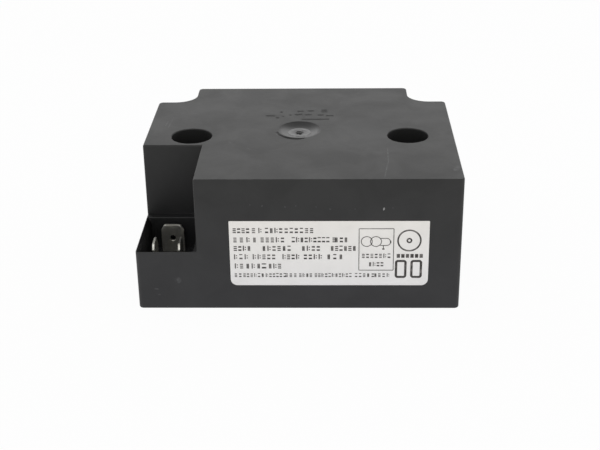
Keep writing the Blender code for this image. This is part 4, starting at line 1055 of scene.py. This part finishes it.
# %% Draw the symbols
def ribbon(shape, path, width, closed=True):
    """Lay a flat stroke along (x, z) points."""
    path = [Vector(point) for point in path]
    count = len(path)
    rails = ([], [])
    for place in range(count):
        before = (path[place] - path[place - 1]).normalized()
        after = (path[(place + 1) % count] - path[place]).normalized()
        if not closed and place == 0:
            before = after
        if not closed and place == count - 1:
            after = before
        across = (before + after).normalized().orthogonal()
        reach = width / 2 / across.dot(after.orthogonal())
        for rail, sign in zip(rails, (1, -1)):
            x, z = path[place] + across * reach * sign
            rail.append(shape.verts.new((x * MM, INK_FACE, z * MM)))
    for place in range(count if closed else count - 1):
        ends = (place, (place + 1) % count)
        shape.faces.new((rails[0][ends[0]], rails[0][ends[1]], rails[1][ends[1]], rails[1][ends[0]]))


THIN, MEDIUM, BOLD = 0.2, 0.42, 0.62
symbols = bmesh.new()
ribbon(symbols, rounded_box((16.0, 11.6), (25.0, 23.65), 0.1, 6), THIN)
for centre in ((18.0, 19.97), (20.4, 19.97)):
    ribbon(symbols, circle(centre, 1.42, 48), THIN)
LOOP_CENTRE, LOOP_RADIUS, LOOP_START = Vector((23.15, 19.85)), 1.03, 21.5
bend = [math.pi / 2 - math.pi * step / 16 for step in range(17)]
loop = [LOOP_CENTRE + LOOP_RADIUS * Vector((math.cos(turn), math.sin(turn))) for turn in bend]
loop = [(LOOP_START, loop[0][1])] + loop + [(LOOP_START, loop[-1][1])]
ribbon(symbols, loop, THIN, closed=False)
ribbon(symbols, [(24.2, 19.5), (24.2, 20.2)], 0.34, closed=False)
ribbon(symbols, [(22.33, 18.82), (22.33, 17.95)], THIN, closed=False)
ribbon(symbols, [(22.03, 17.8), (22.63, 17.8)], 0.36, closed=False)
ribbon(symbols, circle((29.05, 20.25), 2.95, 64), MEDIUM)
ribbon(symbols, circle((29.05, 20.25), 0.55, 32), MEDIUM)
BLOCK_STEP = 1.19
for number in range(6):
    left = 25.85 + BLOCK_STEP * number
    ribbon(symbols, [(left, 15.8), (left + 0.86, 15.8)], 1.1, closed=False)
for left in (25.75, 29.8):
    ribbon(symbols, rounded_box((left, 9.6), (left + 2.45, 14.3), 0.5, 6), BOLD)
for face in symbols.faces:
    face.normal_update()
    if face.normal.y > 0:
        face.normal_flip()
add_piece("label_symbols", as_mesh(symbols, "symbols"), ink, "label_film")

# %% [markdown]
# ## Worn flecks
# A line of flecks runs across the front above the label, the last traces of a stamp that has rubbed
# off. They are flat, irregular and far apart. Geometry Nodes sets a thin fleck on each point, stretched
# and turned at random.

# %% Scatter the flecks
FLECKS = [(22.3, 29.2, 0.42), (-12.1, 30.4, 0.30), (-9.0, 30.1, 0.26), (-3.1, 29.8, 0.30), (-0.3, 30.1, 0.22),
          (4.9, 29.8, 0.26), (8.5, 29.2, 0.34), (14.9, 29.2, 0.26), (24.6, 29.5, 0.22)]
FLECK_SEED = 3
INK_THICKNESS = 0.01 * MM


def fleck_tree(paint):
    """Node group that sets a flat fleck on each point, its size read from the point."""
    tree, given = new_group("flecks", {"Points": "Geometry", "Seed": "Int"}, "Flecks")
    disc = put(tree, "GeometryNodeMeshCircle", {"Vertices": 11, "Radius": 1.0}, fill_type="NGON")
    size = put(tree, "GeometryNodeInputNamedAttribute", {"Name": "reach"}, data_type="FLOAT")
    stretch = put(tree, "FunctionNodeRandomValue", {0: (0.5, 0.4, 1.0), 1: (1.3, 0.9, 1.0), 8: given["Seed"]},
                  data_type="FLOAT_VECTOR")
    scale = put(tree, "VectorMath", {0: stretch, "Scale": size.outputs["Attribute"]}, operation="SCALE")
    turn = put(tree, "FunctionNodeRandomValue", {0: (0.0, 0.0, 0.0), 1: (0.0, 0.0, math.tau),
                                                 8: given["Seed"]}, data_type="FLOAT_VECTOR")
    placed = put(tree, "GeometryNodeInstanceOnPoints", {"Points": given["Points"], "Instance": disc,
                                                        "Rotation": turn, "Scale": scale})
    end_group(tree, placed, paint)
    return tree


def fleck_finish():
    """Remains of pale stamp ink on black plastic, strongest in one place."""
    finish, tree, point = new_finish("worn_stamp_ink")
    grit = put(tree, "TexNoise", {"Vector": point, "Scale": scale_for(0.3 * MM), "Detail": 3.0})
    x, z = FLECKS[0][:2]
    near = place_mask(tree, point, (x * MM, FRONT, z * MM), (1 * MM, 1 * MM, 1 * MM))
    raised = put(tree, "Math", {0: near, 1: 3.0}, operation="MULTIPLY")
    strong = put(tree, "Math", {0: raised, 1: 1.0}, operation="MINIMUM")
    faint = put(tree, "Mix", {0: grit, 6: "#232324", 7: "#48484a"}, data_type="RGBA")
    tone = put(tree, "Mix", {0: strong, 6: faint, 7: "#8e8e8e"}, data_type="RGBA")
    shader = put(tree, "BsdfPrincipled", {"Base Color": tone, "Roughness": 0.6, "IOR": 1.5})
    put(tree, "OutputMaterial", {"Surface": shader})
    return finish


spots = bpy.data.meshes.new("spots")
spots.from_pydata([(x * MM, z * MM, 0) for x, z, reach in FLECKS], [], [])
sizes = spots.attributes.new("reach", "FLOAT", "POINT")
sizes.data.foreach_set("value", [reach * MM for *place, reach in FLECKS])
worn = fleck_finish()
flecks = grown_by(fleck_tree(worn), spots, {"Seed": FLECK_SEED})
upright(flecks, FRONT - INK_THICKNESS)
add_piece("worn_flecks", flecks, worn, "case_plastic")

# %% [markdown]
# ## Blade terminals
# The three tabs are the common 6.3 mm size, blanked from brass strip and tinned. The press coins a
# lead-in along the slanted tip on both faces, so that a receptacle slides on, and leaves a small hole
# for its latch. The body is lofted through the strip's thickness: the tip is drawn in at both faces.
# Those narrow slopes catch the light, which is why the edge-on tabs show as bright spots.

# %% Make the blades
BLADE_THICKNESS = 0.8 * MM
CHAMFER_WIDTH = 0.95 * MM
CHAMFER_HEIGHT = 1.5 * MM
COINING = 0.5 * MM
COINING_DEPTH = 0.13 * MM
TIP_RADIUS = 0.8 * MM
SIDE_BREAK = 0.02 * MM
LATCH_HOLE = 0.8 * MM
LATCH_DROP = 4.0 * MM
LATCH_BREAK = 0.1 * MM
EDGE_BREAK = 0.04 * MM
BLADE_LEG = 1.4 * MM
LEG_END = blade_low.z
SEAT = 5.7 * MM


def blade_outline(coined, break_by):
    """Half the blade's outline from foot to tip, drawn in by the coining, mirrored to the whole."""
    half = (blade_high.x - blade_low.x) / 2
    tip, shoulder = blade_high.z, blade_high.z - CHAMFER_HEIGHT
    slant = math.hypot(CHAMFER_WIDTH, CHAMFER_HEIGHT)
    x = half - CHAMFER_HEIGHT / slant * coined
    z = shoulder - CHAMFER_WIDTH / slant * coined
    upper = (x - (tip - coined - z) / CHAMFER_HEIGHT * CHAMFER_WIDTH, tip - coined)
    outer = half - break_by
    lower = (outer, z + (x - outer) / CHAMFER_WIDTH * CHAMFER_HEIGHT)
    right = [(half - BLADE_LEG, SEAT, 0, 0), (half - BLADE_LEG, LEG_END, 0, 0), (outer, LEG_END, 0, 0),
             (*lower, TIP_RADIUS, 4), (*upper, TIP_RADIUS, 4)]
    return rounded(right + [(-x, z, *corner) for x, z, *corner in reversed(right)])


def blade_mesh():
    """One blade round the origin in X and Y, at its own height."""
    layers = [(COINING, SIDE_BREAK, -BLADE_THICKNESS / 2),
              (0.0, 0.0, COINING_DEPTH - BLADE_THICKNESS / 2),
              (0.0, 0.0, BLADE_THICKNESS / 2 - COINING_DEPTH),
              (COINING, SIDE_BREAK, BLADE_THICKNESS / 2)]
    body = lofted("blade", [[(x, y, z) for x, z in blade_outline(coined, break_by)]
                            for coined, break_by, y in layers])
    centre = Vector((0, 0, blade_high.z - LATCH_DROP))
    half = BLADE_THICKNESS / 2
    wide = LATCH_HOLE + 3 * LATCH_BREAK
    hole = along_y([(wide, -half - 2 * LATCH_BREAK), (LATCH_HOLE, -half + LATCH_BREAK),
                    (LATCH_HOLE, half - LATCH_BREAK), (wide, half + 2 * LATCH_BREAK)], centre, 40)
    return softened(cut(body, [lofted("hole", hole)]), EDGE_BREAK, 2, 25)


def blade_finish():
    """Bright tin over brass strip: rolled along its length, with dull smears."""
    finish, tree, point = new_finish("tinned_brass_strip")
    drawn = put(tree, "VectorMath", {0: point, 1: (1.0, 1.0, 0.08)}, operation="MULTIPLY")
    rolling = put(tree, "TexNoise", {"Vector": drawn, "Scale": scale_for(0.12 * MM), "Detail": 3.0})
    smear = put(tree, "TexNoise", {"Vector": point, "Scale": scale_for(2.5 * MM), "Detail": 4.0})
    dull = put(tree, "MapRange", {"Value": smear, "From Min": 0.4, "From Max": 0.7})
    tone = put(tree, "Mix", {0: dull, 6: "#d6d5ce", 7: "#b6b3a8"}, data_type="RGBA")
    rough = put(tree, "MapRange", {"Value": smear, "From Min": 0.35, "From Max": 0.7, "To Min": 0.34,
                                   "To Max": 0.52})
    relief = put(tree, "Bump", {"Strength": 0.3, "Distance": 0.01 * MM, "Height": rolling})
    shader = put(tree, "BsdfPrincipled", {"Base Color": tone, "Metallic": 1.0, "Roughness": rough,
                                          "Normal": relief})
    put(tree, "OutputMaterial", {"Surface": shader})
    return finish


tin = blade_finish()
for name in ("line_blade", "neutral_blade", "earth_blade"):
    low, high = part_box(name)
    tab = blade_mesh()
    if high.x - low.x < high.y - low.y:
        tab.transform(Matrix.Rotation(math.pi / 2, 4, "Z"))
    tab.transform(Matrix.Translation(Vector(((low.x + high.x) / 2, (low.y + high.y) / 2, 0))))
    add_piece(f"tinned_{name}", shaded(tab, 20), tin, "tinned_brass", name)

# %% [markdown]
# ## High-voltage pin
# The output is a turned brass pin with a domed end. A real one is knurled where the socket's floor
# grips it, which can't be seen, so it is plain there. A profile turned about its axis gives the shape,
# as the lathe does. Nothing of it shows from the front, but it is what one looks for from behind.

# %% Make the pin
DOME_STEPS = 8
DOME_FLATNESS = 0.8
PIN_BREAK = 0.3 * MM
POLE = 0.05 * MM


def pin_profile():
    """(radius, y) steps from the buried end to the domed tip."""
    tip, radius = pin_high.y, PIN_RADIUS
    profile = [(POLE, pin_low.y), (radius - PIN_BREAK, pin_low.y), (radius, pin_low.y + PIN_BREAK)]
    for step in range(DOME_STEPS + 1):
        turn = math.pi / 2 * step / DOME_STEPS
        fallen = radius * DOME_FLATNESS * (1 - math.sin(turn))
        profile.append((max(radius * math.cos(turn), POLE), tip - fallen))
    return profile


def pin_finish():
    """Turned brass with the fine rings of the lathe tool."""
    finish, tree, point = new_finish("turned_brass")
    rings = put(tree, "TexWave", {"Vector": point, "Scale": scale_for(0.2 * MM) / 20, "Distortion": 0.6,
                                  "Detail": 2.0}, bands_direction="Y")
    tarnish = put(tree, "TexNoise", {"Vector": point, "Scale": scale_for(2 * MM), "Detail": 4.0})
    tone = put(tree, "Mix", {0: tarnish, 6: "#cfae6a", 7: "#a8823f"}, data_type="RGBA")
    relief = put(tree, "Bump", {"Strength": 0.2, "Distance": 0.01 * MM, "Height": rings.outputs["Fac"]})
    shader = put(tree, "BsdfPrincipled", {"Base Color": tone, "Metallic": 1.0, "Roughness": 0.28,
                                          "Normal": relief})
    put(tree, "OutputMaterial", {"Surface": shader})
    return finish


pin = lofted("pin", along_y(pin_profile(), PIN_CENTRE, 48))
add_piece("turned_pin", shaded(pin), pin_finish(), "brass", "high_voltage_pin")

# %% [markdown]
# ## Closing resin
# The case is filled upside down, and the last pour closes it. Resin wets the walls, so its face rises
# at every edge in a small fillet and is level in between. The tubes and their webs are tied to the side
# walls, which makes the whole face one outline. Loops of that outline, each a little further from the
# walls and nearer to level, give the meniscus.

# %% Make the closing resin
RESIN_LEVEL = resin_low.z
CLIMB = 0.5 * MM
CLIMB_REACH = 0.45 * MM
OVERLAP = 0.02 * MM
RESIN_CORNER = 0.5 * MM


def keyhole(centre, gap):
    """Corners round a tube and its web, from the side wall and back to it."""
    radius, half_web = BORE_OUTLINE + gap, WEB / 2 + gap
    wall = math.copysign(RIGHT - WALL - gap, centre.x)
    opening = math.asin(half_web / radius)
    start = 0.0 if centre.x > 0 else math.pi
    arc = [start - opening - (math.tau - 2 * opening) * step / 60 for step in range(61)]
    sense = math.copysign(1.0, centre.x)
    return [(wall, centre.y - sense * half_web, 0, 0),
            *[(centre.x + radius * math.cos(turn), centre.y + radius * math.sin(turn), 0, 0) for turn in arc],
            (wall, centre.y + sense * half_web, 0, 0)]


def resin_loop(gap, height):
    """The resin's outline at a gap from every wall."""
    left, right = (keyhole(bore, gap) for bore in BORES)
    return at_height(case_outline(WALL + gap, RESIN_CORNER, 6, right=right, left=left), height)


loops = [resin_loop(-OVERLAP, resin_high.z)]
for gap in (-OVERLAP, 0.08 * MM, 0.18 * MM, 0.32 * MM, 0.5 * MM, 0.8 * MM, 1.2 * MM, 1.8 * MM):
    loops.append(resin_loop(gap, RESIN_LEVEL - CLIMB * math.exp(-max(gap, 0) / CLIMB_REACH)))
print("closing resin has", len(loops), "loops of", len(loops[0]), "points")

# %% [markdown]
# ## Filled polyurethane
# The resin is polyurethane with mineral filler, almost black. Its face levelled by itself, so it mirrors
# in slow waves, and dust and a few burst bubbles break the gloss.

# %% Pour the closing resin
def resin_finish(name, first, second):
    """Filled polyurethane: glossy where it levelled, with slow waves, fine dust and a few pinholes."""
    finish, tree, point = new_finish(name)
    flow = put(tree, "TexNoise", {"Vector": point, "Scale": scale_for(18 * MM), "Detail": 2.0,
                                  "Distortion": 1.2})
    dust = put(tree, "TexNoise", {"Vector": point, "Scale": scale_for(0.8 * MM), "Detail": 4.0})
    cells = put(tree, "TexVoronoi", {"Vector": point, "Scale": scale_for(5 * MM)})
    hole = put(tree, "MapRange", {"Value": cells.outputs["Distance"], "From Min": 0.03, "From Max": 0.09})
    tone = put(tree, "Mix", {0: flow, 6: first, 7: second}, data_type="RGBA")
    rough = put(tree, "MapRange", {"Value": dust, "From Min": 0.4, "From Max": 0.7, "To Min": 0.22,
                                   "To Max": 0.4})
    waves = put(tree, "Math", {0: flow, 1: 3.0}, operation="MULTIPLY")
    level = put(tree, "Math", {0: waves, 1: hole}, operation="ADD")
    relief = put(tree, "Bump", {"Strength": 0.5, "Distance": 0.15 * MM, "Height": level})
    shader = put(tree, "BsdfPrincipled", {"Base Color": tone, "Roughness": rough, "IOR": 1.5,
                                          "Normal": relief})
    put(tree, "OutputMaterial", {"Surface": shader})
    return finish


closing = lofted("closing", loops)
add_piece("poured_resin", shaded(closing, 60), resin_finish("poured_resin", "#2b2826", "#37322f"), "resin",
          "closing_resin")

# %% [markdown]
# ## Finishes of the potted parts
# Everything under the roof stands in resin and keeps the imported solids' shapes, which are right for it.
# Each still gets the finish of the real part, so that an opened or cut-away unit looks true. They share
# one base: two tones clouded by noise, a fine relief and a roughness. Parts with solder legs turn to
# tinned wire below their seat.

# %% A clouded base for the potted parts
def clouded(name, first, second, cloud, roughness, metallic=0.0, relief=None, grain=0.2, depth=0.01):
    """A finish of two clouded tones. Sizes are in millimetres. Returns the material, tree and shader."""
    finish, tree, point = new_finish(name)
    cover = put(tree, "TexNoise", {"Vector": point, "Scale": scale_for(cloud * MM), "Detail": 4.0})
    if relief is None:
        relief = put(tree, "TexNoise", {"Vector": point, "Scale": scale_for(grain * MM)})
    else:
        relief = relief(tree, point)
    bump = put(tree, "Bump", {"Strength": 0.4, "Distance": depth * MM, "Height": relief})
    rough = put(tree, "MapRange", {"Value": cover, "From Min": 0.3, "From Max": 0.7,
                                   "To Min": roughness - 0.06, "To Max": roughness + 0.06})
    tone = put(tree, "Mix", {0: cover, 6: first, 7: second}, data_type="RGBA")
    shader = put(tree, "BsdfPrincipled", {"Base Color": tone, "Metallic": metallic, "Roughness": rough,
                                          "IOR": 1.5, "Normal": bump})
    put(tree, "OutputMaterial", {"Surface": shader})
    return finish, tree, shader


def on_axis(tree, axis):
    """Object coordinate along an axis."""
    point = put(tree, "TexCoord").outputs["Object"]
    return put(tree, "SeparateXYZ", {0: point}).outputs[axis]


def within(tree, value, low, high):
    """1 where a value lies between two others, else 0."""
    over = put(tree, "Math", {0: value, 1: low}, operation="GREATER_THAN")
    under = put(tree, "Math", {0: value, 1: high}, operation="LESS_THAN")
    return put(tree, "Math", {0: over, 1: under}, operation="MULTIPLY")


def recolour(tree, shader, share, colour):
    """Lay a colour over a shader's base colour."""
    under = shader.inputs["Base Color"].links[0].from_socket
    laid = put(tree, "Mix", {0: share, 6: under, 7: colour}, data_type="RGBA")
    tree.links.new(laid.outputs[2], shader.inputs["Base Color"])


def with_legs(finish, tree, shader, seat):
    """Turn what lies below a height to tinned wire."""
    leg = put(tree, "Math", {0: on_axis(tree, "Z"), 1: seat}, operation="LESS_THAN")
    recolour(tree, shader, leg, "#c6c4bb")
    tree.links.new(leg.outputs[0], shader.inputs["Metallic"])
    return finish


def dress(finish, *names):
    """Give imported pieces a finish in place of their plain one."""
    for name in names:
        frame["nodes"][name].data.materials.clear()
        frame["nodes"][name].data.materials.append(finish)
    print(finish.name, "on", ", ".join(names))


print("the potted parts share one base")

# %% [markdown]
# ## Board and its parts
# The board is brown phenolic paper with tinned copper under it. On it stand yellow film capacitors, a
# black bridge and transistor, coated resistors with colour bands, a blue varistor and a sleeved
# electrolytic capacitor with its pale stripe.

# %% Dress the board and its parts
def turns(axis, pitch):
    """Relief of wire wound side by side along an axis."""
    def relief(tree, point):
        return put(tree, "TexWave", {"Vector": point, "Scale": scale_for(pitch * MM) / 20,
                                     "Distortion": 0.3}, bands_direction=axis).outputs["Fac"]
    return relief


def board_finish():
    """Brown phenolic paper over a tinned copper side."""
    finish, tree, shader = clouded("phenolic_board", "#8a6234", "#a0743f", 1.5, 0.5, grain=0.4)
    copper = put(tree, "Math", {0: on_axis(tree, "Z"), 1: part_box("circuit_board")[0].z + 0.1 * MM},
                 operation="LESS_THAN")
    recolour(tree, shader, copper, "#b9b6a8")
    return finish


def banded_finish(name, node, axis, bands):
    """Resistor coat with colour bands round it."""
    finish, tree, shader = clouded(name, "#c9b48c", "#bfa77c", 1.0, 0.45)
    low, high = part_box(node)
    place = on_axis(tree, axis)
    start, length = getattr(low, axis.lower()), getattr(high, axis.lower()) - getattr(low, axis.lower())
    for share, colour in bands:
        ring = within(tree, place, start + (share - 0.035) * length, start + (share + 0.035) * length)
        recolour(tree, shader, ring, colour)
    return with_legs(finish, tree, shader, SEAT)


def sleeve_finish():
    """Shrunk black sleeve with a pale stripe, and bare aluminium on top."""
    finish, tree, shader = clouded("shrunk_sleeve", "#16191f", "#1d2129", 3.0, 0.38)
    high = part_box("reservoir_capacitor")[1]
    stripe = within(tree, on_axis(tree, "X"), high.x - 1.2 * MM, high.x + 1.0 * MM)
    recolour(tree, shader, stripe, "#b8b6ae")
    top = put(tree, "Math", {0: on_axis(tree, "Z"), 1: high.z - 0.15 * MM}, operation="GREATER_THAN")
    recolour(tree, shader, top, "#c8c8c8")
    return with_legs(finish, tree, shader, SEAT)


BANDS = [(0.2, "#7a3b1d"), (0.36, "#1b1b1b"), (0.52, "#a8241c"), (0.78, "#a5863a")]


def longest_axis(node):
    """The axis along which a piece is longest in plan."""
    low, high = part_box(node)
    return "X" if high.x - low.x > high.y - low.y else "Y"


dress(board_finish(), "circuit_board")
dress(with_legs(*clouded("film_capacitor_box", "#c98f1e", "#b9811a", 4.0, 0.42), SEAT),
      "suppression_capacitor", "tank_capacitor")
dress(with_legs(*clouded("moulded_epoxy", "#19191a", "#212122", 2.0, 0.5, grain=0.15), SEAT),
      "bridge_rectifier")
dress(with_legs(*clouded("transistor_epoxy", "#19191a", "#212122", 2.0, 0.5, grain=0.15), SEAT + 2.9 * MM),
      "switching_transistor")
dress(with_legs(*clouded("dipped_epoxy", "#1c4fa0", "#18458e", 2.5, 0.35), SEAT), "varistor")
for name in ("fuse_resistor", "base_resistor", "feedback_resistor"):
    dress(banded_finish(f"{name}_coat", name, longest_axis(name), BANDS), name)
dress(sleeve_finish(), "reservoir_capacitor")
dress(clouded("rolled_aluminium", "#c5c6c8", "#aeb0b3", 6.0, 0.35, metallic=1.0, grain=0.3)[0], "heat_sink")
dress(clouded("zinc_plate", "#b9bcc0", "#a0a4aa", 1.5, 0.3, metallic=1.0)[0], "sink_screw", "sink_nut")

# %% [markdown]
# ## Transformer, windings and leads
# The core is pressed ferrite, dark and matt. The windings are enamelled copper, whose turns show as fine
# grooves across the axis they are wound on. Formers are pale glass-filled plastic, and the leads have
# silicone sleeves. The filling resin is the same material as the closing pour.

# %% Dress the transformer, the leads and the filling
dress(with_legs(*clouded("pressed_ferrite", "#2a2a2e", "#353539", 1.2, 0.6, grain=0.1, depth=0.02), SEAT),
      "choke_core")
dress(clouded("ground_ferrite", "#2b2b2f", "#37373b", 1.8, 0.55, grain=0.12, depth=0.02)[0],
      "core_half_left", "core_half_right")
dress(clouded("enamelled_turns_upright", "#b5602c", "#8f4520", 1.5, 0.32, metallic=1.0,
              relief=turns("Z", 0.35), depth=0.12)[0], "choke_winding")
dress(clouded("enamelled_turns", "#b5602c", "#8f4520", 1.5, 0.32, metallic=1.0,
              relief=turns("X", 0.4), depth=0.12)[0], "primary_winding")
dress(clouded("fine_enamelled_turns", "#a3552a", "#853f1e", 1.0, 0.35, metallic=1.0,
              relief=turns("X", 0.12), depth=0.04)[0],
      *[f"secondary_winding_{number}" for number in range(1, 7)])
dress(clouded("glass_filled_former", "#cfc9b8", "#bdb6a3", 2.0, 0.5)[0], "primary_former", "secondary_former")
dress(clouded("silicone_sleeve", "#8c2219", "#7a1c15", 2.0, 0.5)[0],
      "primary_lead_start", "primary_lead_end", "high_voltage_lead")
dress(clouded("earth_sleeve", "#2f7a34", "#286b2e", 2.0, 0.5)[0], "earth_lead")
dress(resin_finish("filling_resin", "#2b2826", "#37322f"), "potting_resin")

# %% [markdown]
# ## Closing the lesson
# The boxes of the imported model and of the finished one are gathered side by side, and the size of
# the finished one is printed.

# %% Close the lesson
new_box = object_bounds()
sizes = {"cad": [list(corner) for corner in CAD_BOX], "visual": [list(corner) for corner in new_box]}
print("visual box", [round(value / MM, 2) for value in (new_box[1] - new_box[0])], "mm")
